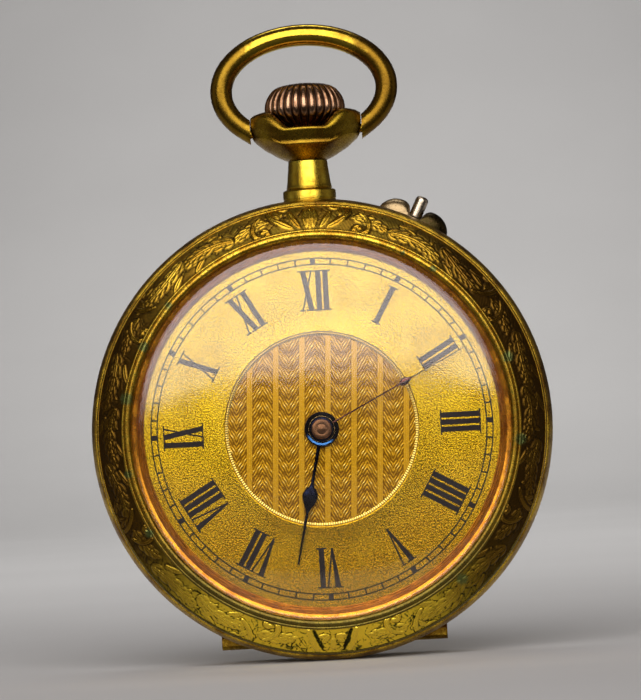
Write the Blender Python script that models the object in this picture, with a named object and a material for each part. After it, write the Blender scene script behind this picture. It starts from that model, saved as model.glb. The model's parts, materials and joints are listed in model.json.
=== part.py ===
"""Open-face fob watch, pin-set and crown-wound, as an assembly of separate pieces.

The watch hangs from its bow. All sizes below are in millimetres, in the watch's own frame:
x to 3 o'clock, y from the dial to the back cover, z to 12 o'clock, with zero at the dial's centre.
The root empty carries that frame so that the scene's origin is the inside of the bow's top.
"""

from math import asin, atan2, cos, pi, radians, sin, sqrt

import bmesh
import bpy
from mathutils import Matrix, Vector

MM = 0.001

# ---- Driving dimensions ------------------------------------------------------------------------
CASE_R = 16.1  # the band's largest radius
BEZEL_R = 15.66
BACK_RIM_R = 15.0
DIAL_R = 12.85
PLATE_R = 12.4
DIAL_T = 0.4
FIT = 0.03  # gap between two pieces that rest on each other

STEM_Y = 3.0  # depth of the winding stem, the pendant and the bow
FRONT_Y = -0.40  # where the bezel meets the band
BACK_Y = 5.10  # where the covers meet the band, and the hinge's axis
PLATE_Y = (1.30, 2.10)
BRIDGE_Y = (3.60, 4.30)
TOP_WHEELS_Y = (4.35, 4.75)  # ratchet and crown wheels, on the barrel bridge

HINGE_Z = -14.70
HINGE_R = 0.57
HINGE_PIN_R = 0.2
HINGE_HALF = 7.98

NECK_TOP = 18.88
BOW_PIVOT_Z = 21.0
BOW_CENTRE_Z = 23.97
BOW_A, BOW_B = 5.83, 3.83  # the bow's centreline, half across and half up
BOW_WIRE_R = 0.77
BOW_FACE_X = 3.93  # where the bow's ends face the ears
BOW_PIN_R = 0.3
EAR_X = 3.89
HANG_Z = BOW_CENTRE_Z + BOW_B - BOW_WIRE_R

PIN_ANGLE = radians(26.7)  # of the hand-setting pin, clockwise from 12
PIN_Y = 3.2
PIN_END = 11.2  # the distance from the centre to where the pin meets the yoke
MINUTE_ANGLE = radians(63.3)
HOUR_ANGLE = radians(193.0)

# ---- The going train: teeth and modules --------------------------------------------------------
BARREL_TEETH, CENTRE_LEAVES, BARREL_M = 60, 10, 0.15
CENTRE_TEETH, THIRD_LEAVES, CENTRE_M = 48, 6, 0.12
THIRD_TEETH, FOURTH_LEAVES, THIRD_M = 45, 6, 0.11
FOURTH_TEETH, ESCAPE_LEAVES, FOURTH_M = 60, 6, 0.085
ESCAPE_TEETH, ESCAPE_R = 15, 1.45
CANNON_TEETH, MINUTE_TEETH, MINUTE_LEAVES, HOUR_TEETH, MOTION_M = 10, 30, 8, 32, 0.15
SETTING_TEETH = 16
LEAF_EASE = 0.95  # pinion leaves are cut a little small, for clearance
WINDING_TEETH, CROWN_WHEEL_TEETH, RATCHET_TEETH, WINDING_M, SLIDING_M = 14, 26, 32, 0.2, 0.12


def pitch(teeth, module):
    return teeth * module / 2


def rounded(outline, radius):
    """The outline's points, each in its own direction, at one radius."""
    return [(radius * x / sqrt(x * x + z * z), radius * z / sqrt(x * x + z * z)) for x, z in outline]


def meeting(a, ra, b, rb, side):
    """The point at distance ra from a and rb from b, left (1) or right (-1) of the way from a to b."""
    ax, az = a
    bx, bz = b
    gap = sqrt((bx - ax) ** 2 + (bz - az) ** 2)
    along = (ra * ra - rb * rb + gap * gap) / (2 * gap)
    off = sqrt(ra * ra - along * along) * side
    ux, uz = (bx - ax) / gap, (bz - az) / gap
    return ax + ux * along - uz * off, az + uz * along + ux * off


CENTRE = (0.0, 0.0)
BARREL_GAP = pitch(BARREL_TEETH + CENTRE_LEAVES, BARREL_M)
BARREL = (BARREL_GAP * sin(pi / 4), BARREL_GAP * cos(pi / 4))
TOP_GAP = pitch(RATCHET_TEETH + CROWN_WHEEL_TEETH, WINDING_M)
CROWN_WHEEL = (0.0, BARREL[1] + sqrt(TOP_GAP**2 - BARREL[0] ** 2))
THIRD_GAP = pitch(CENTRE_TEETH + THIRD_LEAVES, CENTRE_M)
THIRD = (THIRD_GAP * sin(radians(188.9)), THIRD_GAP * cos(radians(188.9)))
FOURTH_GAP = pitch(THIRD_TEETH + FOURTH_LEAVES, THIRD_M)
FOURTH = (THIRD[0] + FOURTH_GAP * sin(radians(214.8)), THIRD[1] + FOURTH_GAP * cos(radians(214.8)))
ESCAPE_GAP = pitch(FOURTH_TEETH + ESCAPE_LEAVES, FOURTH_M)
ESCAPE = (FOURTH[0] + ESCAPE_GAP * sin(radians(280.3)), FOURTH[1] + ESCAPE_GAP * cos(radians(280.3)))
BALANCE = (ESCAPE[0] - 1.43, ESCAPE[1] + 0.83)
SETTING = (0.0, 6.1)
MOTION_GAP = pitch(CANNON_TEETH + MINUTE_TEETH, MOTION_M)
MINUTE = meeting(CENTRE, MOTION_GAP, SETTING, pitch(SETTING_TEETH + MINUTE_TEETH, MOTION_M), 1)
YOKE = (7.2, 8.9)


# ---- Shapes ------------------------------------------------------------------------------------
def circle(radius, n, at=(0.0, 0.0), phase=0.0):
    """n points round a circle, as (x, z)."""
    steps = [phase + 2 * pi * i / n for i in range(n)]
    return [(at[0] + radius * sin(a), at[1] + radius * cos(a)) for a in steps]


def bore(radius, n, at=(0.0, 0.0)):
    """A hole whose flats, and not its corners, are at the radius."""
    return circle(radius / cos(pi / n), n, at)


def arc(radius, start, end, n, at=(0.0, 0.0)):
    """Points from start to end, in degrees clockwise from 12, as (x, z)."""
    steps = [radians(start + (end - start) * i / (n - 1)) for i in range(n)]
    return [(at[0] + radius * sin(a), at[1] + radius * cos(a)) for a in steps]


def gear(teeth, module, phase=0.0, points=2, at=(0.0, 0.0)):
    """A toothed outline: 2 points a tooth give pointed teeth, 4 give flat ones."""
    r = pitch(teeth, module)
    tip, root = r + 0.75 * module, r - 1.15 * module
    marks = {2: ((0.0, tip), (0.5, root)), 4: ((-0.09, tip), (0.09, tip), (0.28, root), (0.72, root))}
    out = []
    for i in range(teeth):
        for share, radius in marks[points]:
            a = phase + 2 * pi * (i + share) / teeth
            out.append((at[0] + radius * sin(a), at[1] + radius * cos(a)))
    return out


def mesh_phase(teeth, leader_teeth, leader_phase, heading):
    """The phase that puts a gap of this gear opposite a tooth of its leader, at that heading from it."""
    back = heading + pi
    offset = (back - leader_phase) * leader_teeth / (2 * pi)
    return heading + ((offset % 1.0) + 0.5) * 2 * pi / teeth


def heading(a, b):
    """The direction from a to b, clockwise from 12."""
    return atan2(b[0] - a[0], b[1] - a[1])


def capsule(a, b, ra, rb, n=8):
    """A bar's outline with round ends of radius ra at a and rb at b."""
    h = heading(a, b)
    gap = sqrt((b[0] - a[0]) ** 2 + (b[1] - a[1]) ** 2)
    lean = asin((ra - rb) / gap)
    half = pi / 2 - lean
    out = []
    for centre, r, mid, spread in ((b, rb, h, half), (a, ra, h + pi, pi - half)):
        for i in range(n):
            angle = mid - spread + 2 * spread * i / (n - 1)
            out.append((centre[0] + r * sin(angle), centre[1] + r * cos(angle)))
    return out


def slab(loops, y0, y1):
    """An outline with holes, as thick as y0 to y1."""
    bm = bmesh.new()
    for loop in loops:
        ring = [bm.verts.new((x, y0, z)) for x, z in loop]
        for i, v in enumerate(ring):
            bm.edges.new((v, ring[(i + 1) % len(ring)]))
    bmesh.ops.triangle_fill(bm, use_beauty=True, use_dissolve=False, edges=bm.edges[:])
    moved = bmesh.ops.extrude_face_region(bm, geom=bm.faces[:])["geom"]
    verts = [v for v in moved if isinstance(v, bmesh.types.BMVert)]
    bmesh.ops.translate(bm, vec=(0, y1 - y0, 0), verts=verts)
    return bm


def turned(profile, segments, phase=0.0):
    """A closed profile of (radius, y) spun round the y axis."""
    bm = bmesh.new()
    points = [bm.verts.new((r * sin(phase), y, r * cos(phase))) for r, y in profile]
    for i, v in enumerate(points):
        w = points[(i + 1) % len(points)]
        if profile[i][0] > 0 or profile[(i + 1) % len(points)][0] > 0:
            bm.edges.new((v, w))
    bmesh.ops.spin(
        bm, geom=bm.verts[:] + bm.edges[:], axis=(0, 1, 0), cent=(0, 0, 0),
        angle=2 * pi, steps=segments, use_merge=True, use_duplicate=False,
    )
    bmesh.ops.remove_doubles(bm, verts=bm.verts[:], dist=1e-4)
    return bm


def lofted(rings, closed=False):
    """Skins rings of points in order. Open, its ends are capped; closed, the last ring joins the first."""
    bm = bmesh.new()
    made = [[bm.verts.new(p) for p in ring] for ring in rings]
    pairs = list(zip(made, made[1:])) + ([(made[-1], made[0])] if closed else [])
    for low, high in pairs:
        for i in range(len(low)):
            j = (i + 1) % len(low)
            bm.faces.new((low[i], low[j], high[j], high[i]))
    if not closed:
        bm.faces.new(made[0])
        bm.faces.new(made[-1])
    return bm


def stacked(levels):
    """A shaft along y: each level is (y, outline of (x, z) points), all with as many points."""
    return lofted([[(x, y, z) for x, z in outline] for y, outline in levels])


def box(low, high):
    bm = bmesh.new()
    bmesh.ops.create_cube(bm, size=1.0)
    size = Vector(high) - Vector(low)
    bmesh.ops.scale(bm, vec=size, verts=bm.verts[:])
    bmesh.ops.translate(bm, vec=(Vector(low) + Vector(high)) / 2, verts=bm.verts[:])
    return bm


def rod(radius, start, end, segments=12):
    """A round bar between two points."""
    a, b = Vector(start), Vector(end)
    bm = bmesh.new()
    bmesh.ops.create_cone(
        bm, cap_ends=True, segments=segments, radius1=radius, radius2=radius, depth=(b - a).length
    )
    turn = Vector((0, 0, 1)).rotation_difference(b - a).to_matrix().to_4x4()
    bm.transform(Matrix.Translation((a + b) / 2) @ turn)
    return bm


def upright(bm, y=STEM_Y):
    """A shape made round the y axis, stood up round the vertical axis of the pendant."""
    bm.transform(Matrix.Translation((0, y, 0)) @ Matrix.Rotation(pi / 2, 4, "X"))
    return bm


def moved(bm, dx=0.0, dy=0.0, dz=0.0):
    bm.transform(Matrix.Translation((dx, dy, dz)))
    return bm


# ---- Materials ---------------------------------------------------------------------------------
FINISHES = {
    "gilt_case": ((0.42, 0.28, 0.06, 1), 0.32, 1.0),
    "gilt_polished": ((0.72, 0.52, 0.14, 1), 0.18, 1.0),
    "gilt_dial": ((0.80, 0.58, 0.16, 1), 0.42, 1.0),
    "crown_copper": ((0.36, 0.20, 0.12, 1), 0.32, 1.0),
    "nickel": ((0.62, 0.60, 0.55, 1), 0.30, 1.0),
    "crystal": ((0.95, 0.97, 0.98, 0.3), 0.02, 0.0),
    "blued_steel": ((0.02, 0.03, 0.07, 1), 0.25, 1.0),
    "steel": ((0.55, 0.55, 0.56, 1), 0.28, 1.0),
    "movement_brass": ((0.70, 0.56, 0.28, 1), 0.30, 1.0),
}


def material(slot):
    found = bpy.data.materials.get(slot)
    if found:
        return found
    made = bpy.data.materials.new(slot)
    made.use_nodes = True
    colour, roughness, metallic = FINISHES[slot]
    shader = made.node_tree.nodes["Principled BSDF"]
    shader.inputs["Base Color"].default_value = colour
    shader.inputs["Roughness"].default_value = roughness
    shader.inputs["Metallic"].default_value = metallic
    shader.inputs["Alpha"].default_value = colour[3]
    return made


# ---- Objects -----------------------------------------------------------------------------------
def add(name, bm, slot, origin=(0.0, 0.0, 0.0)):
    """Makes the object, with its origin on its joint's axis, and hangs it on the watch's empty."""
    shift = Vector(origin)
    bmesh.ops.translate(bm, vec=-shift, verts=bm.verts[:])
    bmesh.ops.scale(bm, vec=(MM, MM, MM), verts=bm.verts[:])
    bmesh.ops.recalc_face_normals(bm, faces=bm.faces[:])
    mesh = bpy.data.meshes.new(name)
    bm.to_mesh(mesh)
    bm.free()
    mesh.shade_smooth()
    mesh.set_sharp_from_angle(angle=radians(30))
    mesh.materials.append(material(slot))
    obj = bpy.data.objects.new(name, mesh)
    bpy.context.scene.collection.objects.link(obj)
    obj.parent = bpy.data.objects["watch"]
    obj.location = shift * MM
    return obj


def boolean(obj, bm, operation):
    """Cuts a shape from an object, or joins it on. The tool stays as a hidden helper."""
    tool = add(f"{obj.name}_tool_{len(obj.modifiers)}", bm, "steel")
    tool.hide_render = True
    tool.display_type = "WIRE"
    modifier = obj.modifiers.new(operation.lower(), "BOOLEAN")
    modifier.object = tool
    modifier.operation = operation
    modifier.solver = "EXACT"


def cut(obj, *tools):
    for bm in tools:
        boolean(obj, bm, "DIFFERENCE")
    return obj


def join(obj, *tools):
    for bm in tools:
        boolean(obj, bm, "UNION")
    return obj


# ---- The case ----------------------------------------------------------------------------------
CASE_SEGMENTS = 36


def knuckle(x0, x1, tab_to=None, tab_y=(BACK_Y + 0.05, BACK_Y + 0.42)):
    """A section of the hinge's tube, with a tab up to the cover that it carries."""
    ring = [(HINGE_R * sin(a), HINGE_R * cos(a)) for a in [2 * pi * (i + 0.5) / 14 for i in range(14)]]
    hole = bore(HINGE_PIN_R + FIT, 8)
    bm = slab([ring, hole], x0, x1)
    bm.transform(Matrix.Translation((0, BACK_Y, HINGE_Z)) @ Matrix.Rotation(-pi / 2, 4, "Z"))
    if tab_to is None:
        return [bm]
    tab = box((x0 + 0.08, tab_y[0], HINGE_Z + HINGE_PIN_R + 0.12), (x1 - 0.08, tab_y[1], tab_to))
    return [bm, tab]


def hinge_room(x0, x1, reach):
    """The space that the hinge needs in a piece: a channel round its axis, open outwards and backwards."""
    return [
        rod(HINGE_R + 0.06, (x0, BACK_Y, HINGE_Z), (x1, BACK_Y, HINGE_Z), 16),
        box((x0, BACK_Y - HINGE_R - 0.04, -CASE_R - 1), (x1, BACK_Y + reach, HINGE_Z)),
    ]


def case_middle():
    profile = [
        (15.70, FRONT_Y), (15.90, -0.05), (CASE_R, 0.9), (CASE_R, 2.2), (15.86, 3.5), (15.42, 4.6),
        (BACK_RIM_R, BACK_Y - FIT), (12.55, BACK_Y - FIT), (12.55, DIAL_T + FIT), (12.95, DIAL_T + FIT),
        (12.95, FRONT_Y + 0.35), (13.40, FRONT_Y + 0.35), (13.40, FRONT_Y),
    ]
    band = add("case_middle", turned(profile, CASE_SEGMENTS), "gilt_case")
    tip = (CASE_R + 2) * sin(PIN_ANGLE), (CASE_R + 2) * cos(PIN_ANGLE)
    root = 11.0 * sin(PIN_ANGLE), 11.0 * cos(PIN_ANGLE)
    seat = 15.7 * sin(PIN_ANGLE), 15.7 * cos(PIN_ANGLE)
    cut(
        band,
        rod(1.91, (0, STEM_Y, 14.65), (0, STEM_Y, 18), 24),
        rod(0.80, (0, STEM_Y, 11), (0, STEM_Y, 18), 16),
        rod(0.36, (root[0], PIN_Y, root[1]), (tip[0], PIN_Y, tip[1]), 12),
        rod(0.52, (seat[0], PIN_Y, seat[1]), (tip[0], PIN_Y, tip[1]), 12),
        *hinge_room(-8.25, 8.25, 1.0),
    )
    for side in (-1, 1):
        x0, x1 = sorted((side * 5.22, side * HINGE_HALF))
        join(band, *knuckle(x0, x1))
        web = (x0 + 0.1, BACK_Y - 0.75, HINGE_Z - 0.25), (x1 - 0.1, BACK_Y - 0.40, HINGE_Z + 0.25)
        join(band, box(*web))


def bezel():
    profile = [
        (15.60, FRONT_Y - FIT), (BEZEL_R, -0.60), (15.47, -0.82), (15.15, -1.14), (14.6, -1.55),
        (14.0, -1.84), (13.78, -2.04), (13.46, -2.14), (13.20, -1.98), (13.16, -1.15),
        (12.84, -1.15), (12.40, -0.10), (13.34, -0.10), (13.34, FRONT_Y - FIT),
    ]
    add("bezel", turned(profile, CASE_SEGMENTS), "gilt_case")


def crystal():
    profile = [
        (0, -3.00), (5.5, -2.86), (10.0, -2.46), (12.6, -1.98), (13.13, -1.62), (13.13, -1.18),
        (12.70, -1.18), (10.0, -1.82), (5.5, -2.22), (0, -2.36),
    ]
    add("crystal", turned(profile, CASE_SEGMENTS), "crystal")


def case_back():
    profile = [
        (BACK_RIM_R, BACK_Y + FIT), (15.06, 5.45), (14.4, 6.08), (12.6, 6.72), (9.6, 7.18),
        (6.0, 7.40), (0, 7.40), (0, 6.95), (5.8, 6.95), (9.4, 6.74), (12.3, 6.28), (13.9, 5.70),
        (14.15, BACK_Y + FIT),
    ]
    axis = (0, BACK_Y, HINGE_Z)
    cover = add("case_back", turned(profile, CASE_SEGMENTS), "gilt_case", axis)
    cut(cover, box((-8.25, 4.9, -17), (8.25, 8, HINGE_Z + HINGE_R + 0.33)))
    for side in (-1, 1):
        x0, x1 = sorted((side * 2.02, side * 5.16))
        join(cover, *knuckle(x0, x1, -13.35, (BACK_Y + 0.10, BACK_Y + 0.55)))


def cuvette():
    profile = [
        (13.5, 5.14), (12.9, 5.14), (12.0, 5.35), (9.0, 5.58), (5.0, 5.70), (0, 5.74),
        (0, 6.08), (5.0, 6.04), (9.0, 5.92), (12.0, 5.70), (13.2, 5.50), (13.5, 5.36),
    ]
    axis = (0, BACK_Y, HINGE_Z)
    cover = add("cuvette", turned(profile, CASE_SEGMENTS), "gilt_polished", axis)
    cut(cover, box((-5.3, 4.9, -17), (5.3, 8, -12.85)))
    join(cover, *knuckle(-1.96, 1.96, -12.60, (BACK_Y + 0.08, BACK_Y + 0.36)))


def hinge_pin():
    half = HINGE_HALF - 0.05
    add("hinge_pin", rod(HINGE_PIN_R, (-half, BACK_Y, HINGE_Z), (half, BACK_Y, HINGE_Z), 10), "steel")


# ---- Pendant, bow and crown --------------------------------------------------------------------
def pendant_neck():
    profile = [
        (1.86, 14.70), (1.86, 16.82), (1.62, 16.96), (1.54, 17.05), (1.37, NECK_TOP),
        (0.75, NECK_TOP), (0.75, 14.70),
    ]
    add("pendant_neck", upright(turned(profile, 24)), "gilt_polished")


def crown_cup():
    """The cup that holds the crown, drawn up at each side into an ear that carries the bow."""
    def oval(half_x, half_y, z):
        steps = [2 * pi * i / 28 for i in range(28)]
        return [(half_x * sin(a), STEM_Y + half_y * cos(a), z) for a in steps]

    rings = [
        oval(1.36, 1.36, NECK_TOP + FIT), oval(2.1, 1.9, 19.35), oval(3.2, 2.6, 20.1),
        oval(3.95, 2.95, 20.85), oval(4.1, 3.0, 21.45), oval(3.6, 2.95, 22.3), oval(2.9, 2.72, 22.3),
        oval(2.65, 2.55, 21.3), oval(0.75, 0.75, 20.95), oval(0.75, 0.75, NECK_TOP + FIT),
    ]
    cup = add("crown_cup", lofted(rings, closed=True), "gilt_polished")
    right = [(1.3, 21.15), (2.85, 22.25), (2.85, 23.0)]
    left = [(-x, z) for x, z in reversed(right)]
    saddle = slab([right + left], -2, 8)
    hole_z = BOW_PIVOT_Z
    cut(
        cup,
        box((EAR_X, -2, 18), (6, 8, 24)),
        box((-6, -2, 18), (-EAR_X, 8, 24)),
        saddle,
        rod(0.34, (-5, STEM_Y, hole_z), (-3.1, STEM_Y, hole_z), 10),
        rod(0.34, (3.1, STEM_Y, hole_z), (5, STEM_Y, hole_z), 10),
    )


def bow():
    """An oval of round wire, open at the bottom, whose turned-down ends pivot in the ears."""
    sides, steps = 10, 28
    end = asin((BOW_FACE_X + 0.25) / BOW_A)  # from straight down to where the wire is cut
    rings = []
    for i in range(steps + 1):
        a = -pi + end + (2 * pi - 2 * end) * i / steps
        centre = Vector((BOW_A * sin(a), STEM_Y, BOW_CENTRE_Z + BOW_B * cos(a)))
        out = Vector((BOW_B * sin(a), 0, BOW_A * cos(a))).normalized()
        near_end = min(i, steps - i)
        r = BOW_WIRE_R * (0.80 + 0.20 * min(1.0, near_end / 5))
        ring = [
            centre + r * cos(2 * pi * k / sides) * out + Vector((0, r * sin(2 * pi * k / sides), 0))
            for k in range(sides)
        ]
        rings.append(ring)
    for ring, side, order in ((rings[0], -1, 0), (rings[-1], 1, len(rings))):
        for p in ring:
            p.x = side * BOW_FACE_X
        pins = []
        for x in (BOW_FACE_X, 3.2):
            middle = sum(q.z for q in ring) / sides
            angles = [atan2(p.y - STEM_Y, p.z - middle) for p in ring]
            pins.append([
                Vector((side * x, STEM_Y + BOW_PIN_R * sin(a), BOW_PIVOT_Z + BOW_PIN_R * cos(a)))
                for a in angles
            ])
        if order == 0:
            rings[:0] = pins[::-1]
        else:
            rings.extend(pins)
    add("bow", lofted(rings), "gilt_polished", (0, STEM_Y, BOW_PIVOT_Z))


def crown():
    flutes = 28
    levels = [
        (21.42, 1.7), (21.75, 2.3), (22.3, 2.75), (22.85, 2.80), (23.36, 2.65), (23.9, 2.27), (24.34, 1.0),
    ]
    rings = []
    for height, r in levels:
        depth = 0.10 if 21.5 < height < 24.2 else 0.02
        radii = [r - depth * (i % 2) for i in range(2 * flutes)]
        turns = [pi * i / flutes for i in range(2 * flutes)]
        rings.append([(q * sin(a), height, q * cos(a)) for q, a in zip(radii, turns)])
    add("crown", upright(lofted(rings)), "crown_copper", (0, STEM_Y, 21.42))


def winding_stem():
    """Round where it turns in the neck and the pinion, square where the sliding pinion rides."""
    def level(height, r, square=False):
        points = []
        for i in range(12):
            a = 2 * pi * i / 12
            flat = max(abs(sin(a)), abs(cos(a)))
            q = r / flat if square else r
            points.append((q * sin(a), height, q * cos(a)))
        return points

    rings = [
        level(6.9, 0.2), level(7.15, 0.2), level(7.15, 0.34, True), level(10.2, 0.34, True),
        level(10.2, 0.45), level(12.2, 0.45), level(12.2, 0.55), level(21.38, 0.55),
    ]
    add("winding_stem", upright(lofted(rings)), "steel")


# ---- Hand setting ------------------------------------------------------------------------------
def on_pin(bm):
    """From a frame with z along the setting pin, outwards, to the watch's."""
    bm.transform(Matrix.Translation((0, PIN_Y, 0)) @ Matrix.Rotation(PIN_ANGLE, 4, "Y"))
    return bm


def pin_guard():
    """An olive-shaped guard on the band with a V across it, where the nail presses the pin."""
    half = 2.58
    base = CASE_R + 0.04
    span = asin(half / base)
    left = [(-2.40, 16.45), (-2.0, 16.98), (-1.45, 17.22), (-0.95, 17.10), (-0.62, 16.80)]
    outline = left + [(-0.36, 16.42), (0.36, 16.42)] + [(-x, z) for x, z in reversed(left)]
    under = [(base * sin(span * (1 - i / 5)), base * cos(span * (1 - i / 5))) for i in range(11)]
    guard = add("pin_guard", on_pin(slab([outline + under], -1.0, 1.0)), "nickel")
    cut(guard, on_pin(rod(0.49, (0, 0, 15), (0, 0, 18), 16)))


def setting_pin():
    start = PIN_END + FIT
    profile = [
        (0, start), (0.30, start), (0.30, 16.25), (0.46, 16.25), (0.46, 17.5), (0.3, 17.76), (0, 17.82),
    ]
    bm = turned(profile, 14)
    bm.transform(Matrix.Rotation(pi / 2, 4, "X"))
    add("setting_pin", on_pin(bm), "nickel")


def setting_yoke():
    """The lever that the pin tips, with its end in the sliding pinion's groove."""
    grip = (0.70, 9.58)
    nose = (PIN_END * sin(PIN_ANGLE), PIN_END * cos(PIN_ANGLE))
    outline = [
        (grip[0], grip[1] - 0.20), (YOKE[0], YOKE[1] - 0.75), (YOKE[0] + 0.6, YOKE[1] - 0.55),
        (YOKE[0] + 0.75, YOKE[1]), (YOKE[0] + 0.45, YOKE[1] + 0.6), (nose[0] + 0.7, nose[1] - 0.30),
        (nose[0] + 0.30, nose[1] - 0.19), (nose[0] - 0.30, nose[1] + 0.11), (nose[0] - 1.1, nose[1] - 0.2),
        (grip[0], grip[1] + 0.20),
    ]
    bm = slab([outline, bore(0.31, 8, YOKE)], 3.20, 3.50)
    add("setting_yoke", bm, "steel", (YOKE[0], 3.35, YOKE[1]))


def keyless_pinions():
    """The winding pinion, round the stem, and the sliding pinion with its groove."""
    teeth = gear(WINDING_TEETH, WINDING_M)
    inside = bore(0.49, len(teeth))
    levels = [(10.62, teeth), (11.45, teeth), (11.45, inside), (10.62, inside)]
    rings = [[(x, h, z) for x, z in loop] for h, loop in levels]
    add("winding_pinion", upright(lofted(rings, closed=True)), "steel")
    teeth = gear(WINDING_TEETH, SLIDING_M)
    n = len(teeth)
    levels = [
        (8.55, teeth), (9.25, teeth), (9.25, circle(0.64, n)), (9.90, circle(0.64, n)),
        (9.90, circle(0.88, n)), (10.52, circle(0.88, n)), (10.52, bore(0.52, n)), (8.55, bore(0.52, n)),
    ]
    rings = [[(x, h, z) for x, z in loop] for h, loop in levels]
    add("sliding_pinion", upright(lofted(rings, closed=True)), "steel", (0, STEM_Y, 9.58))


# ---- Dial and hands ----------------------------------------------------------------------------
def dial():
    add("dial", slab([circle(DIAL_R, CASE_SEGMENTS), bore(1.03, 16)], 0, DIAL_T), "gilt_dial")


def hand(name, angle, length, node_at, node_half, node_long, boss_r, hole_r, y0, y1):
    """A needle with a pear-shaped swelling, on a round boss."""
    start = asin(0.10 / boss_r)
    steps = [start + (2 * pi - 2 * start) * i / 15 for i in range(16)]
    outline = [(boss_r * sin(a), boss_r * cos(a)) for a in steps]
    pear = [(-0.5, 0.10), (-0.34, 0.62), (-0.12, 1.0), (0.10, 0.92), (0.34, 0.45), (0.55, 0.12)]
    right = [(w * node_half if w > 0.15 else w, node_at + t * node_long) for t, w in pear]
    tip = [(0.055, length), (-0.055, length)]
    outline = outline + [(-x, z) for x, z in right] + tip[::-1] + right[::-1]
    bm = slab([outline, bore(hole_r, 12)], y0, y1)
    bm.transform(Matrix.Rotation(angle, 4, "Y"))
    add(name, bm, "blued_steel")


def hands():
    hand("hour_hand", HOUR_ANGLE, 9.5, 4.95, 0.55, 2.3, 1.2, 0.96, -0.62, -0.42)
    hand("minute_hand", MINUTE_ANGLE, 11.3, 6.7, 0.30, 1.7, 0.95, 0.56, -1.12, -0.95)


# ---- Motion work -------------------------------------------------------------------------------
def motion_work():
    cannon_phase = 0.0
    teeth = gear(CANNON_TEETH, MOTION_M, cannon_phase)
    n = len(teeth)
    rings = [
        (1.22, teeth), (0.84, teeth), (0.84, circle(0.53, n)), (-1.14, circle(0.53, n)),
        (-1.14, bore(0.30, n)), (1.22, bore(0.30, n)),
    ]
    add("cannon_pinion", lofted([[(x, y, z) for x, z in loop] for y, loop in rings], closed=True), "steel")

    minute_phase = mesh_phase(MINUTE_TEETH, CANNON_TEETH, cannon_phase, heading(MINUTE, CENTRE))
    wheel = slab([gear(MINUTE_TEETH, MOTION_M, minute_phase), bore(0.2, 8)], 0.86, 1.16)
    at = (MINUTE[0], 0, MINUTE[1])
    wheel = add("minute_wheel", moved(wheel, MINUTE[0], 0, MINUTE[1]), "movement_brass", at)
    hour_phase = 0.0
    leaves_phase = mesh_phase(MINUTE_LEAVES, HOUR_TEETH, hour_phase, heading(MINUTE, CENTRE))
    leaves = slab([gear(MINUTE_LEAVES, MOTION_M, leaves_phase, 4), bore(0.2, 8)], 0.46, 0.95)
    join(wheel, moved(leaves, MINUTE[0], 0, MINUTE[1]))

    toothed = slab([gear(HOUR_TEETH, MOTION_M, hour_phase), bore(0.6, 16)], 0.52, 0.78)
    hour = add("hour_wheel", toothed, "movement_brass")
    join(hour, slab([circle(0.93, 16), bore(0.6, 16)], -0.66, 0.60))

    setting_phase = mesh_phase(SETTING_TEETH, MINUTE_TEETH, minute_phase, heading(SETTING, MINUTE))
    wheel = slab([gear(SETTING_TEETH, MOTION_M, setting_phase), bore(0.3, 8)], 0.62, 2.10)
    at = (SETTING[0], 0, SETTING[1])
    add("setting_wheel", moved(wheel, SETTING[0], 0, SETTING[1]), "steel", at)


# ---- Plates and bridges ------------------------------------------------------------------------
SCREW_R = 0.28
SCREWS = {
    "barrel_bridge_screw_a": ((-4.55, 10.05), BRIDGE_Y[1]),
    "barrel_bridge_screw_b": ((10.0, 4.6), BRIDGE_Y[1]),
    "centre_bridge_screw": ((-8.75, 3.35), BRIDGE_Y[1]),
    "third_bridge_screw": ((7.3, -7.3), BRIDGE_Y[1]),
    "fourth_bridge_screw": ((1.3, -10.4), BRIDGE_Y[1]),
    "escape_bridge_screw": ((-4.2, -10.2), 2.97),
    "cock_screw": ((-9.35, 0.35), 4.45),
}


def main_plate():
    holes = [bore(0.66, 12), bore(0.60, 12, BARREL)]
    holes += [bore(0.15, 8, at) for at in (THIRD, FOURTH, ESCAPE, BALANCE, MINUTE)]
    holes += [bore(1.45, 16, SETTING)]
    holes += [bore(SCREW_R + 0.02, 8, at) for at, _ in SCREWS.values()] + [bore(SCREW_R + 0.02, 8, YOKE)]
    plate = add("main_plate", slab([circle(PLATE_R, CASE_SEGMENTS)] + holes, *PLATE_Y), "movement_brass")
    rim = slab([circle(PLATE_R - 0.06, 36), circle(11.65, 36)], DIAL_T + FIT, 1.6)
    join(plate, rim)
    cut(plate, box((-1.75, 0.9, 7.45), (1.75, 3, 13)))


def bridge(name, outline, holes, feet, screws, y=BRIDGE_Y):
    """A bar over the train, with feet down to the plate and a hole for each screw."""
    obj = add(name, slab([outline] + holes, *y), "movement_brass")
    for foot in feet:
        join(obj, slab([foot], PLATE_Y[1] + FIT, y[0] + 0.2))
    for at in screws:
        cut(obj, rod(SCREW_R + 0.03, (at[0], 1, at[1]), (at[0], 5, at[1]), 10))
    return obj


def bar(name, pivot, pivot_r, screw, foot_r, y=BRIDGE_Y, pivot_hole=0.15):
    at = SCREWS[screw][0]
    foot = circle(foot_r - 0.08, 12, at, 0.1)
    bridge(name, capsule(pivot, at, pivot_r, foot_r), [bore(pivot_hole, 8, pivot)], [foot], [at], y)


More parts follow.
